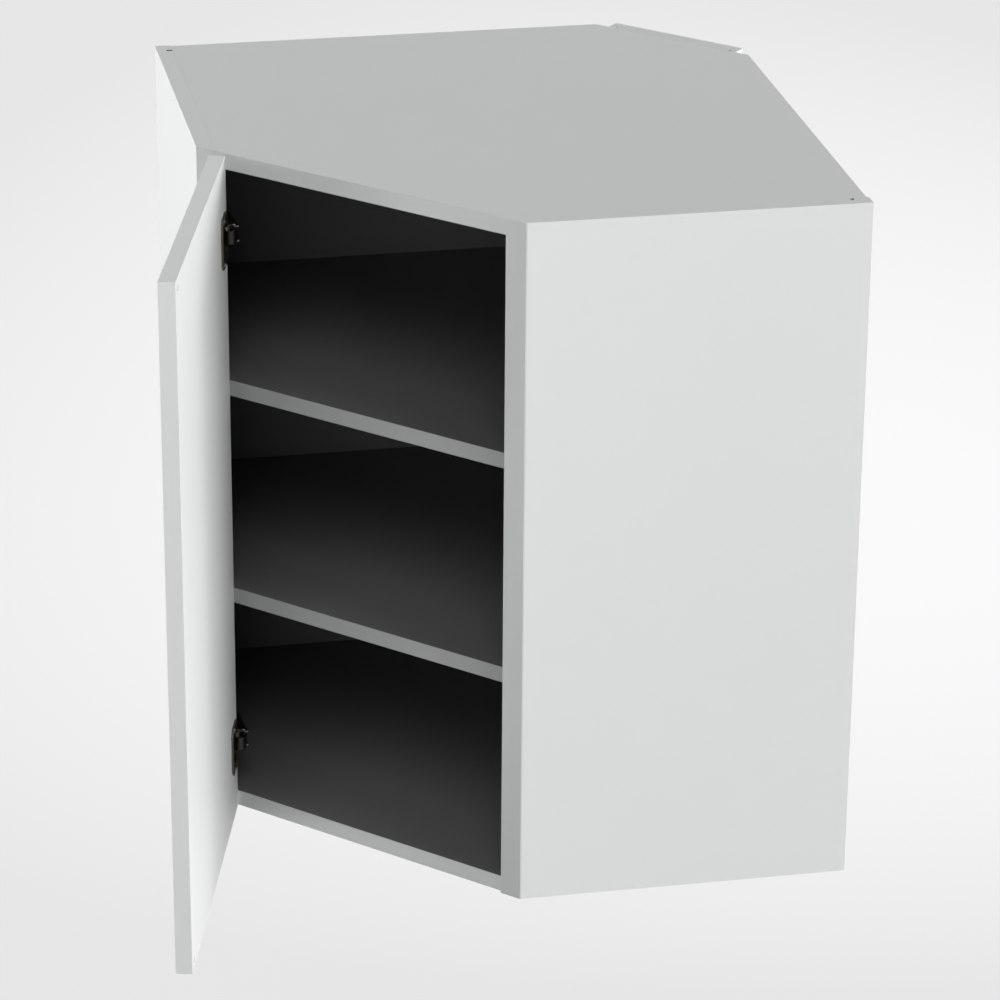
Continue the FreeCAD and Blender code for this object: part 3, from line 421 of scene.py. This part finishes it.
def two_film_board(name, inward, plane, groove=None):
    """Board that is dark on the face beyond a plane, and inside its groove shows chipboard
    darkened to paint the shade there.

    inward is the direction of the inner face, plane the distance of that face from the
    origin along it, in metres. A point is on the dark face where its place along inward
    reaches the plane. groove is the direction across the rear sheet's groove: a point
    is in the groove where it lies less than the groove's half width from its middle and
    less than its depth behind the inner face.
    """
    material, tree, out = new_material(name)
    place = add(tree, "ShaderNodeTexCoord")
    along = add(
        tree,
        "ShaderNodeVectorMath",
        {1: inward},
        {0: place.outputs["Object"]},
        operation="DOT_PRODUCT",
    )
    inside = maths(tree, "GREATER_THAN", along.outputs["Value"], plane - FILM_EDGE)
    films = add(tree, "ShaderNodeMix", data_type="RGBA", links={"Factor": inside})
    films.inputs["A"].default_value = WHITE_FILM
    films.inputs["B"].default_value = DARK_FILM
    colour = films.outputs["Result"]
    if groove:
        across = add(
            tree,
            "ShaderNodeVectorMath",
            {1: groove},
            {0: place.outputs["Object"]},
            operation="DOT_PRODUCT",
        )
        off_middle = maths(tree, "ADD", across.outputs["Value"], GROOVE_MIDDLE)
        off_middle = maths(tree, "ABSOLUTE", off_middle)
        narrow = maths(tree, "LESS_THAN", off_middle, GROOVE_HALF)
        shallow = maths(tree, "GREATER_THAN", along.outputs["Value"], plane - GROOVE_DEEP)
        film_here = maths(tree, "SUBTRACT", 1.0, inside)
        # painted shade: in the groove the colour turns to the darkened chipboard
        groove_shade = maths(tree, "MULTIPLY", maths(tree, "MULTIPLY", narrow, shallow), film_here)
        groove_shade_mix = add(tree, "ShaderNodeMix", data_type="RGBA", links={"Factor": groove_shade, "A": colour})
        groove_shade_mix.inputs["B"].default_value = CHIPBOARD_IN_SHADE
        colour = groove_shade_mix.outputs["Result"]
    film_shader(tree, out, colour, WHITE_ROUGHNESS, BOARD_DRIFT, BOARD_BUMP)
    return material


# %% Carcass boards
R2 = 1.0 / math.sqrt(2.0)
low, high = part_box("left_side_panel")
SIDE_INNER = high[0]
BOARD = high[0] - low[0]
TOP_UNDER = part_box("top_panel")[0][2]
BOTTOM_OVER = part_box("bottom_panel")[1][2]
CLIP = 137.0 * MM  # the corner board's inner face lies where x + y = -CLIP
GROOVE_PLAY = 0.15 * MM
low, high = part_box("back_board_left")
GROOVE_MIDDLE = -(low[1] + high[1]) / 2.0
GROOVE_HALF = (high[1] - low[1]) / 2.0 + GROOVE_PLAY
GROOVE_DEEP = 6.05 * MM
ACROSS, BACK = (1.0, 0.0, 0.0), (0.0, 1.0, 0.0)
UP, DOWN = (0.0, 0.0, 1.0), (0.0, 0.0, -1.0)
CARCASS_BOARDS = {
    # node: (finish, way to its dark face, where that face lies, way across its groove)
    "left_side_panel": ("left side", ACROSS, SIDE_INNER, BACK),
    "right_side_panel": ("right side", BACK, SIDE_INNER, ACROSS),
    "top_panel": ("top", DOWN, -TOP_UNDER, None),
    "bottom_panel": ("bottom", UP, BOTTOM_OVER, None),
    "corner_board": ("corner", (-R2, -R2, 0.0), CLIP * R2, None),
}
for name, (label, inward, plane, groove) in CARCASS_BOARDS.items():
    dress(two_film_board("white board, " + label, inward, plane, groove), name)
print("side panels: board %.1f mm, inner face at %.1f mm" % (BOARD / MM, SIDE_INNER / MM))

# %% Door, shelves, rear sheets and edge bands
white, tree, out = new_material("white board")
film_shader(tree, out, DOOR_FILM, WHITE_ROUGHNESS, DOOR_DRIFT, BOARD_BUMP)
dress(white, "door_panel")

dark, tree, out = new_material("dark board")
film_shader(tree, out, DARK_FILM, DARK_ROUGHNESS, DARK_DRIFT, BOARD_BUMP)
dress(dark, "upper_shelf", "lower_shelf", "back_board_left", "back_board_right")

# edge band films, with painted shade on the carcass and shelf bands and painted light on the door
# bands
BANDS = {
    "door edge band, painted light": (LIT_DOOR_BAND_FILM, ["door_side_bands", "door_end_bands"]),
    "white edge band, painted shade": (SHADED_BAND_FILM, ["side_bands", "top_band", "bottom_band"]),
    "grey edge band, painted shade": (SHADED_GREY_FILM, ["upper_shelf_band", "lower_shelf_band"]),
}
for label, (film, names) in BANDS.items():
    band, tree, out = new_material(label)
    film_shader(tree, out, film, BAND_ROUGHNESS, BAND_DRIFT, BAND_BUMP)
    dress(band, *names)
print("edge bands:", list(BANDS))

# %% [markdown]
# ## Dark plated steel of the hinges
#
# The hinges are pressed from sheet steel and plated in a dark olive black. Plating wears through
# first where parts rub, on their edges, and bare nickel shows there. The rubbed-edge mask mixes
# the two colours. The bent links carry a rougher copy of the same plating, with its colours
# darkened to paint the shade on them.


# %% Dark steel
def plated_steel(name, colour, bare, roughness, rub):
    """Metal whose edges show a brighter layer."""
    material, tree, out = new_material(name)
    worn = {"Radius": 0.5 * MM, "Breakup Scale": 400.0, "Strength": rub}
    mask = place_group(tree, RUB, worn)
    cloudy = {"Color": colour, "Amount": 0.15, "Scale": 90.0}
    drift = place_group(
        tree, DRIFT, {**cloudy, "Roughness": roughness, "Roughness Amount": 0.1}
    )
    mixed = add(
        tree,
        "ShaderNodeMix",
        data_type="RGBA",
        links={"Factor": mask.outputs["Mask"], "A": drift.outputs["Color"]},
    )
    mixed.inputs["B"].default_value = bare
    grain = {"Scale": 2500.0, "Coarse Scale": 500.0, "Coarse Share": 0.5}
    texture = place_group(tree, TEXTURE, grain)
    bump = add(
        tree,
        "ShaderNodeBump",
        {"Strength": 0.3, "Distance": 0.03 * MM},
        {"Height": texture.outputs["Height"]},
    )
    shader = add(
        tree,
        "ShaderNodeBsdfPrincipled",
        {"Metallic": 1.0},
        {
            "Base Color": mixed.outputs["Result"],
            "Roughness": drift.outputs["Roughness"],
            "Normal": bump.outputs["Normal"],
        },
    )
    tree.links.new(shader.outputs[0], out.inputs["Surface"])
    return material


OLIVE_BLACK, WORN_OLIVE = (0.11, 0.105, 0.085, 1.0), (0.55, 0.53, 0.45, 1.0)
dress(
    plated_steel("dark plated steel", OLIVE_BLACK, WORN_OLIVE, roughness=0.34, rub=0.8),
    "upper_mounting_plate",
    "lower_mounting_plate",
    "upper_hinge_arm",
    "lower_hinge_arm",
    "upper_hinge_cup",
    "lower_hinge_cup",
)
# painted shade: the links' plating and worn colours are darkened copies for the shade on the links
SHADED_LINK_BLACK, SHADED_LINK_WORN = (0.04, 0.039, 0.032, 1.0), (0.13, 0.125, 0.11, 1.0)
dress(
    plated_steel("link steel, painted shade", SHADED_LINK_BLACK, SHADED_LINK_WORN, roughness=0.42, rub=0.5),
    "upper_hinge_link",
    "lower_hinge_link",
)
print("dark steel on the hinges")

# %% Bright steel and cast zinc
NICKEL, WORN_NICKEL = (0.62, 0.60, 0.55, 1.0), (0.8, 0.78, 0.74, 1.0)
dress(
    plated_steel("nickel plated steel", NICKEL, WORN_NICKEL, roughness=0.28, rub=0.5),
    "mounting_plate_screws",
    "hinge_arm_screws",
    "hinge_arm_pins",
    "hinge_cup_pins",
    "hinge_cup_screws",
    "shelf_pins",
    "cam_bolts",
    "left_hanger_hook",
    "right_hanger_hook",
    "hanger_screws",
)
ZINC, WORN_ZINC = (0.45, 0.45, 0.44, 1.0), (0.6, 0.6, 0.6, 1.0)
dress(plated_steel("cast zinc", ZINC, WORN_ZINC, roughness=0.45, rub=0.5), "cam_housings")
print("bright steel and zinc on the fittings")

# %% [markdown]
# ## Moulded plastic, rubber and beech
#
# The hanger housings are moulded in white plastic, the two bumpers on the door are a
# milky soft plastic, and the dowels inside the corner joints are turned from beech.

# %% Plastic, rubber, beech
WHITE_PLASTIC, MILKY_PLASTIC = (0.76, 0.76, 0.74, 1.0), (0.66, 0.67, 0.67, 1.0)
DARK_GRAIN, LIGHT_GRAIN = (0.42, 0.26, 0.13, 1.0), (0.62, 0.43, 0.25, 1.0)
PLASTIC_DRIFT = 0.02
white_plastic, tree, out = new_material("white moulded plastic")
film_shader(tree, out, WHITE_PLASTIC, 0.5, PLASTIC_DRIFT, 0.06 * MM)
dress(white_plastic, "left_hanger", "right_hanger")

milky, tree, out = new_material("milky soft plastic")
film_shader(tree, out, MILKY_PLASTIC, 0.3, PLASTIC_DRIFT, 0.02 * MM)
dress(milky, "door_bumpers")

beech, tree, out = new_material("turned beech")
place = add(tree, "ShaderNodeTexCoord")
grain = add(
    tree,
    "ShaderNodeTexNoise",
    {"Scale": 260.0, "Detail": 5.0},
    {"Vector": place.outputs["Object"]},
)
tones = add(tree, "ShaderNodeValToRGB", links={"Fac": grain.outputs["Fac"]})
tones.color_ramp.elements[0].position = 0.35
tones.color_ramp.elements[0].color = DARK_GRAIN
tones.color_ramp.elements[1].position = 0.65
tones.color_ramp.elements[1].color = LIGHT_GRAIN
shader = add(
    tree,
    "ShaderNodeBsdfPrincipled",
    {"Roughness": 0.6},
    {"Base Color": tones.outputs["Color"]},
)
tree.links.new(shader.outputs[0], out.inputs["Surface"])
dress(beech, "dowels")
print("finishes in all:", len(bpy.data.materials))

# %% [markdown]
# ## Rounded edges
#
# No real board or pressed sheet has a knife edge. Each of these nodes is copied, the
# copy's doubled points are merged, flat faces that belong together are joined, and every
# edge that turns by more than 30 degrees is rounded in two steps. Edges that still turn
# by more than 15 degrees stay sharp in the shading, so that the flat faces look flat.
# The rounding stays inside the solid, so each piece keeps its size and its place. The
# copy stands for its node, rides on the same body and takes its finish from the same
# slot.

# %% Copies that stand for nodes
RECORD = frame["record"]
BODY_OF = {name: body for body, names in RECORD["behaviour"]["bodies"].items() for name in names}


def stand_in(mesh, name):
    """Show a mesh in the place of a CAD node, with that node's finish."""
    finish = nodes[name].material_slots[0].material
    mesh.materials.clear()
    mesh.materials.append(finish)
    piece = bpy.data.objects.new(name + "_shown", mesh)
    bpy.context.scene.collection.objects.link(piece)
    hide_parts(name)
    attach(piece, BODY_OF[name])
    return piece


def merged(name):
    """Mesh edit copy of a CAD node with its doubled points merged."""
    form = bmesh.new()
    form.from_mesh(nodes[name].data)
    bmesh.ops.remove_doubles(form, verts=form.verts, dist=0.001 * MM)
    return form


FLAT = math.radians(0.5)
EDGE_TURN = math.radians(30.0)
SHADED_TURN = math.radians(15.0)


def rounded(name, radius):
    """Copy of a node whose sharp edges are rounded in two steps."""
    form = merged(name)
    bmesh.ops.dissolve_limit(form, angle_limit=FLAT, verts=form.verts, edges=form.edges)
    joined = [edge for edge in form.edges if edge.is_manifold]
    bmesh.ops.bevel(
        form,
        geom=[edge for edge in joined if edge.calc_face_angle() > EDGE_TURN],
        offset=radius,
        segments=2,
        profile=0.5,
        affect="EDGES",
        clamp_overlap=True,
    )
    mesh = bpy.data.meshes.new(name + "_shown")
    form.to_mesh(mesh)
    form.free()
    mesh.shade_smooth()
    mesh.set_sharp_from_angle(angle=SHADED_TURN)
    return stand_in(mesh, name)


# %% Round the boards, bands, hinges and hangers
BOARD_EDGE = 0.1 * MM
STEEL_EDGE = 0.25 * MM
PLASTIC_EDGE = 0.8 * MM
EDGES = {
    BOARD_EDGE: [
        "left_side_panel",
        "right_side_panel",
        "top_panel",
        "bottom_panel",
        "corner_board",
        "upper_shelf",
        "lower_shelf",
        "upper_shelf_band",
        "lower_shelf_band",
        "side_bands",
        "top_band",
        "bottom_band",
        "door_panel",
        "door_side_bands",
        "door_end_bands",
    ],
    STEEL_EDGE: [
        "upper_mounting_plate",
        "lower_mounting_plate",
        "upper_hinge_arm",
        "lower_hinge_arm",
        "upper_hinge_link",
        "lower_hinge_link",
        "upper_hinge_cup",
        "lower_hinge_cup",
        "left_hanger_hook",
        "right_hanger_hook",
        "hinge_arm_pins",
        "hinge_cup_pins",
    ],
    PLASTIC_EDGE: ["left_hanger", "right_hanger"],
}
for radius, names in EDGES.items():
    for name in names:
        rounded(name, radius)
    print("edges of %.2f mm on %d pieces" % (radius / MM, len(names)))

# %% [markdown]
# ## Turned fittings
#
# Screws, shelf pins, cams, dowels and bumpers are turned or pressed round, so each is a
# surface of revolution about its own axis. For a profile of radii r and heights h the
# surface is
#
#     x = r cos(a),  y = r sin(a),  z = h
#
# with a going round once. A driver recess lowers the top by a smooth cross-shaped
# amount, and flutes pull the radius of a dowel in along 20 lines. Where a fitting sits,
# and how long it is, is read from its solid in the frame. The cup screws and the bumpers
# point square to the door as it is shown, which is 15 degrees in front of +X.


# %% Surfaces of revolution
def smooth_step(x):
    """0 below 0, 1 above 1, and 3x^2 - 2x^3 between."""
    x = np.clip(x, 0.0, 1.0)
    return x * x * (3.0 - 2.0 * x)


def cross(x, y, half, reach, slope):
    """1 inside a cross of two bars, 0 outside, with sides that slope."""
    bar = [
        smooth_step((half - abs(p)) / slope + 0.5) * smooth_step((reach - abs(q)) / slope + 0.5)
        for p, q in ((x, y), (y, x))
    ]
    return np.maximum(*bar)


def turned(profile, turns=48, flutes=0.0, recess=None):
    """Points and faces of a profile of (radius, height) pairs in mm, turned about Z.

    The profile runs from the tail's middle to the head's middle and leaves out both
    middle points but their heights. recess is (half width, reach, depth) of a cross.
    """
    a = np.arange(turns) * 2.0 * math.pi / turns
    r, h = np.array(profile[1:-1]).T
    outer = r[:, None] > 0.9 * r.max()
    r = r[:, None] * (1.0 - flutes * (0.5 + 0.5 * np.cos(20.0 * a)) * outer)
    x, y = r * np.cos(a), r * np.sin(a)
    z = np.repeat(h[:, None], turns, axis=1)
    top = profile[-1][1]
    if recess:
        half, reach, deep = recess
        head = h[:, None] > top - 0.5 * deep
        z = z - deep * cross(x, y, half, reach, 0.5) * head
        top = top - deep
    rim = list(zip(x.ravel(), y.ravel(), z.ravel()))
    points = [(0.0, 0.0, profile[0][1])] + rim + [(0.0, 0.0, top)]
    last = len(points) - 1
    rings = len(r)
    faces = []
    for j in range(turns):
        k = (j + 1) % turns
        faces.append((0, 1 + k, 1 + j))
        faces.append((last, 1 + (rings - 1) * turns + j, 1 + (rings - 1) * turns + k))
        for i in range(rings - 1):
            low, high = 1 + i * turns, 1 + (i + 1) * turns
            faces.append((low + j, low + k, high + k, high + j))
    return np.array(points) * MM, faces


def solids_of(name):
    """Points of each separate solid of a node."""
    form = merged(name)
    form.verts.ensure_lookup_table()
    seen = set()
    found = []
    for first in form.verts:
        if first.index in seen:
            continue
        reach = [first]
        seen.add(first.index)
        for point in reach:
            for edge in point.link_edges:
                other = edge.other_vert(point)
                if other.index not in seen:
                    seen.add(other.index)
                    reach.append(other)
        found.append(np.array([point.co[:] for point in reach]))
    form.free()
    return found


TURNED_SHADED_TURN = math.radians(38.0)


def turn_all(name, axes, shape, turns=48, flutes=0.0, recess=None):
    """Replace every solid of a node by a turned form.

    axes are the directions that a head may point to; a solid takes the one along which
    it is longest. shape gives the profile for a solid's length in mm.
    """
    points, faces = [], []
    upright, sideways = (0.0, 0.0, 1.0), (1.0, 0.0, 0.0)
    for solid in solids_of(name):
        middle = (solid.max(axis=0) + solid.min(axis=0)) / 2.0
        spans = [np.ptp(solid @ np.array(axis)) for axis in axes]
        axis = np.array(axes[int(np.argmax(spans))])
        low, high = (solid @ axis).min(), (solid @ axis).max()
        side = np.cross(upright, axis) if abs(axis[2]) < 0.5 else np.array(sideways)
        side = side / np.linalg.norm(side)
        base = middle + axis * (low - middle @ axis)
        form, quads = turned(shape((high - low) / MM), turns, flutes, recess)
        shift = len(points)
        points.extend(base + form @ np.array([side, np.cross(axis, side), axis]))
        faces.extend([tuple(index + shift for index in face) for face in quads])
    mesh = bpy.data.meshes.new(name + "_shown")
    mesh.from_pydata([tuple(point) for point in points], [], faces)
    mesh.update()
    mesh.shade_smooth()
    mesh.set_sharp_from_angle(angle=TURNED_SHADED_TURN)
    return stand_in(mesh, name)


# %% Profiles of the fittings
def screw(stem, head, thick, dome, top_rings=16):
    """Profile of a screw: stem and head radius, thickness of the head, rise of its top."""

    def shape(long):
        rim = long - dome
        tail = [(0.0, 0.0), (0.6 * stem, 0.0), (stem, 0.6 * stem)]
        tail += [(stem, long - thick), (head, long - thick)]
        crown = [(head, rim - 0.3), (0.97 * head, rim - 0.12)]
        share = np.linspace(0.9, 0.04, top_rings)
        crown += [(s * head, rim + dome * (1.0 - s * s)) for s in share]
        return tail + crown + [(0.0, long)]

    return shape


def shelf_pin(long):
    """Stem with a chamfered end, a thin collar, and a rounded nose."""
    collar = 10.0
    return [
        (0.0, 0.0),
        (1.9, 0.0),
        (2.4, 0.5),
        (2.4, collar),
        (3.9, collar + 0.05),
        (3.9, collar + 0.7),
        (2.5, collar + 0.8),
        (2.5, long - 1.2),
        (2.2, long - 0.4),
        (1.4, long),
        (0.0, long),
    ]


def cam(long):
    """Cam housing: a rim round a slightly sunk face."""
    face = long - 0.4
    wall = [(0.0, 0.0), (6.9, 0.0), (7.2, 0.3), (7.2, long - 0.3)]
    rim = [(7.0, long), (6.2, long), (6.0, face)]
    return wall + rim + [(r, face) for r in np.linspace(5.6, 0.3, 20)] + [(0.0, face)]


def dowel(long):
    """Fluted pin with chamfered ends."""
    ends = [(0.0, 0.0), (2.8, 0.0), (3.9, 1.2), (3.9, 1.4)]
    return ends + [(3.9, long - 1.4), (3.9, long - 1.2), (2.8, long), (0.0, long)]


def bumper(long):
    """Plug with a low domed pad."""
    pad = long - 1.2
    plug = [(0.0, 0.0), (1.3, 0.0), (1.7, 0.6), (1.7, pad), (2.9, pad)]
    arc = np.linspace(0.0, 1.45, 9)
    dome = [(3.0 * math.cos(t), long - 0.9 + 0.9 * math.sin(t)) for t in arc]
    return plug + dome + [(0.0, long)]


# %% Turn them
LEFTWARDS, FORWARDS = (-1.0, 0.0, 0.0), (0.0, -1.0, 0.0)
SLANT = (R2, R2, 0.0)
DOOR_TURN = math.radians(-15.0)
DOOR_FACE = (math.cos(DOOR_TURN), math.sin(DOOR_TURN), 0.0)
SCREWS = {
    # node: (ways the head may point, sizes of the screw, half width, reach and depth of its cross)
    "hinge_arm_screws": ([ACROSS], (2.8, 3.75, 2.0, 0.5), (0.55, 2.3, 1.1)),
    "mounting_plate_screws": ([ACROSS], (2.4, 4.15, 1.6, 0.7), (0.55, 2.5, 1.1)),
    "hinge_cup_screws": ([DOOR_FACE], (1.7, 3.35, 1.4, 0.15), (0.45, 1.9, 0.9)),
    "hanger_screws": ([FORWARDS, LEFTWARDS], (2.0, 2.95, 1.6, 0.2), (0.5, 2.0, 1.0)),
}
for name, (ways, sizes, recess) in SCREWS.items():
    turn_all(name, ways, screw(*sizes), recess=recess)
turn_all("shelf_pins", [ACROSS, BACK], shelf_pin, turns=32)
turn_all("cam_housings", [DOWN], cam, recess=(0.9, 4.2, 2.0))
turn_all("dowels", [ACROSS, BACK, SLANT], dowel, turns=60, flutes=0.06)
turn_all("door_bumpers", [DOOR_FACE], bumper, turns=40)
shown = [thing for thing in bpy.data.objects if thing.name.endswith("_shown")]
print("rounded or turned:", len(shown), "pieces in all")

# %% [markdown]
# ## Floor, backdrop and light
#
# The cabinet hangs, so the floor lies well below it, as it does under a wall cabinet.
# Seven distant lamps stand round it, each 30 degrees wide, so that shadows are soft and
# a flat face has one tone all over, which a near lamp could not give. The strongest
# stands behind the left side, and a high one in front reaches into the compartments.
# The pale surroundings and the floor's pool of light are only seen by the camera and in
# reflections, so they do not light the object. From below the floor is clear.
#
# The pool is brightest a little to the right. To each side it falls off as the square of
# the distance. Along the view it falls off as the square of 10 / (y + 4.2) less 1.317:
# the camera stands at y = -4.2, so that term grows evenly down the picture.

# %% Lamps
LAMP_SPREAD = 30.0
LAMP_AWAY = 3.0
LAMPS = {
    # name: (degrees from +X, degrees above the horizon, strength)
    "right lamp": (0.0, 12.0, 0.75),
    "right front lamp": (-20.0, 9.0, 1.36),
    "front right lamp": (-45.0, 12.0, 1.48),
    "front high lamp": (-102.0, 46.0, 0.68),
    "front lamp": (-110.0, 10.0, 0.32),
    "left low lamp": (-135.0, -15.0, 2.35),
    "left rear lamp": (135.0, 9.0, 3.4),
}
for name, (turn, rise, strength) in LAMPS.items():
    turn, rise = math.radians(turn), math.radians(rise)
    level = math.cos(rise)
    away = Vector((math.cos(turn) * level, math.sin(turn) * level, math.sin(rise)))
    light = bpy.data.lights.new(name, "SUN")
    light.angle = math.radians(LAMP_SPREAD)
    light.energy = strength
    lamp = bpy.data.objects.new(name, light)
    facing = away.to_track_quat("Z", "Y").to_matrix().to_4x4()
    lamp.matrix_world = Matrix.Translation(away * LAMP_AWAY) @ facing
    bpy.context.scene.collection.objects.link(lamp)
print("lamps:", len(LAMPS))

# %% World
BACKDROP = 0.80
BACKDROP_COLOUR = (BACKDROP, BACKDROP, BACKDROP, 1.0)
world = bpy.data.worlds.new("pale surroundings")
world.use_nodes = True
bpy.context.scene.world = world
tree = world.node_tree
tree.nodes.clear()


def seen_directly(tree):
    """1 for what the camera, a reflection or a clear piece looks at, 0 for light."""
    path = add(tree, "ShaderNodeLightPath")
    camera_ray, glossy_ray = path.outputs["Is Camera Ray"], path.outputs["Is Glossy Ray"]
    seen = maths(tree, "MAXIMUM", camera_ray, glossy_ray)
    return maths(tree, "MAXIMUM", seen, path.outputs["Is Transmission Ray"])


unlit = add(tree, "ShaderNodeBackground", {"Color": (1.0, 1.0, 1.0, 1.0), "Strength": 0.0})
pale = add(tree, "ShaderNodeBackground", {"Color": BACKDROP_COLOUR, "Strength": 1.0})
choice = {"Fac": seen_directly(tree), 1: unlit.outputs[0], 2: pale.outputs[0]}
both = add(tree, "ShaderNodeMixShader", {}, choice)
add(tree, "ShaderNodeOutputWorld", {}, {"Surface": both.outputs[0]})
print("backdrop tone:", BACKDROP)

# %% Floor
FLOOR_LEVEL = -1.4
FLOOR_RADIUS = 14.0
FLOOR_COLOUR = (0.10, 0.10, 0.10, 1.0)
POOL_TONE = 0.90
POOL_LEAST = 0.74
POOL_SIDE, SIDE_FALL = 1.15, 0.0315
POOL_NEAR, NEAR_FALL = 1.317, 0.8
NEAR_SCALE, NEAR_START, NEAR_LEAST = 10.0, 4.2, 1.0
FADE_FROM, FADE_TO = 8.0, 13.0
form = bmesh.new()
bmesh.ops.create_circle(form, cap_ends=True, segments=96, radius=FLOOR_RADIUS)
mesh = bpy.data.meshes.new("floor")
form.to_mesh(mesh)
form.free()
floor = bpy.data.objects.new("floor", mesh)
floor.location = (0.0, 0.0, FLOOR_LEVEL)
bpy.context.scene.collection.objects.link(floor)
floor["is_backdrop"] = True

pale, tree, out = new_material("pale floor")
place = add(tree, "ShaderNodeTexCoord")
split = add(tree, "ShaderNodeSeparateXYZ", links={0: place.outputs["Object"]})
side = maths(tree, "SUBTRACT", split.outputs["X"], POOL_SIDE)
side = maths(tree, "MULTIPLY", maths(tree, "MULTIPLY", side, side), SIDE_FALL)
ahead = maths(tree, "MAXIMUM", maths(tree, "ADD", split.outputs["Y"], NEAR_START), NEAR_LEAST)
near = maths(tree, "SUBTRACT", maths(tree, "DIVIDE", NEAR_SCALE, ahead), POOL_NEAR)
near = maths(tree, "MULTIPLY", maths(tree, "MULTIPLY", near, near), NEAR_FALL)
tone = maths(tree, "SUBTRACT", maths(tree, "SUBTRACT", POOL_TONE, side), near)
tone = maths(tree, "MAXIMUM", tone, POOL_LEAST)
object_place = {0: place.outputs["Object"]}
far = add(tree, "ShaderNodeVectorMath", operation="LENGTH", links=object_place)
fade = add(
    tree,
    "ShaderNodeMapRange",
    {"From Min": FADE_FROM, "From Max": FADE_TO},
    {"Value": far.outputs["Value"]},
    interpolation_type="SMOOTHSTEP",
)
blend = add(tree, "ShaderNodeMix", links={"Factor": fade.outputs["Result"], "A": tone})
blend.inputs["B"].default_value = BACKDROP
seen = {"Color": blend.outputs["Result"], "Strength": seen_directly(tree)}
glow = add(tree, "ShaderNodeEmission", {}, seen)
dull = add(tree, "ShaderNodeBsdfDiffuse", {"Color": FLOOR_COLOUR})
above = add(tree, "ShaderNodeAddShader", {}, {0: glow.outputs[0], 1: dull.outputs[0]})
clear = add(tree, "ShaderNodeBsdfTransparent")
back = add(tree, "ShaderNodeNewGeometry")
choice = {"Fac": back.outputs["Backfacing"], 1: above.outputs[0], 2: clear.outputs[0]}
both = add(tree, "ShaderNodeMixShader", {}, choice)
tree.links.new(both.outputs[0], out.inputs["Surface"])
floor.data.materials.append(pale)
print("floor at %.2f m" % FLOOR_LEVEL)

# %% View settings and the box of the shown model
bpy.context.scene.view_settings.view_transform = "Standard"
shown_box = [list(corner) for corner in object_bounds()]
corners = [[round(v / MM) for v in corner] for corner in shown_box]
print("box of the picture's model in mm:", corners)
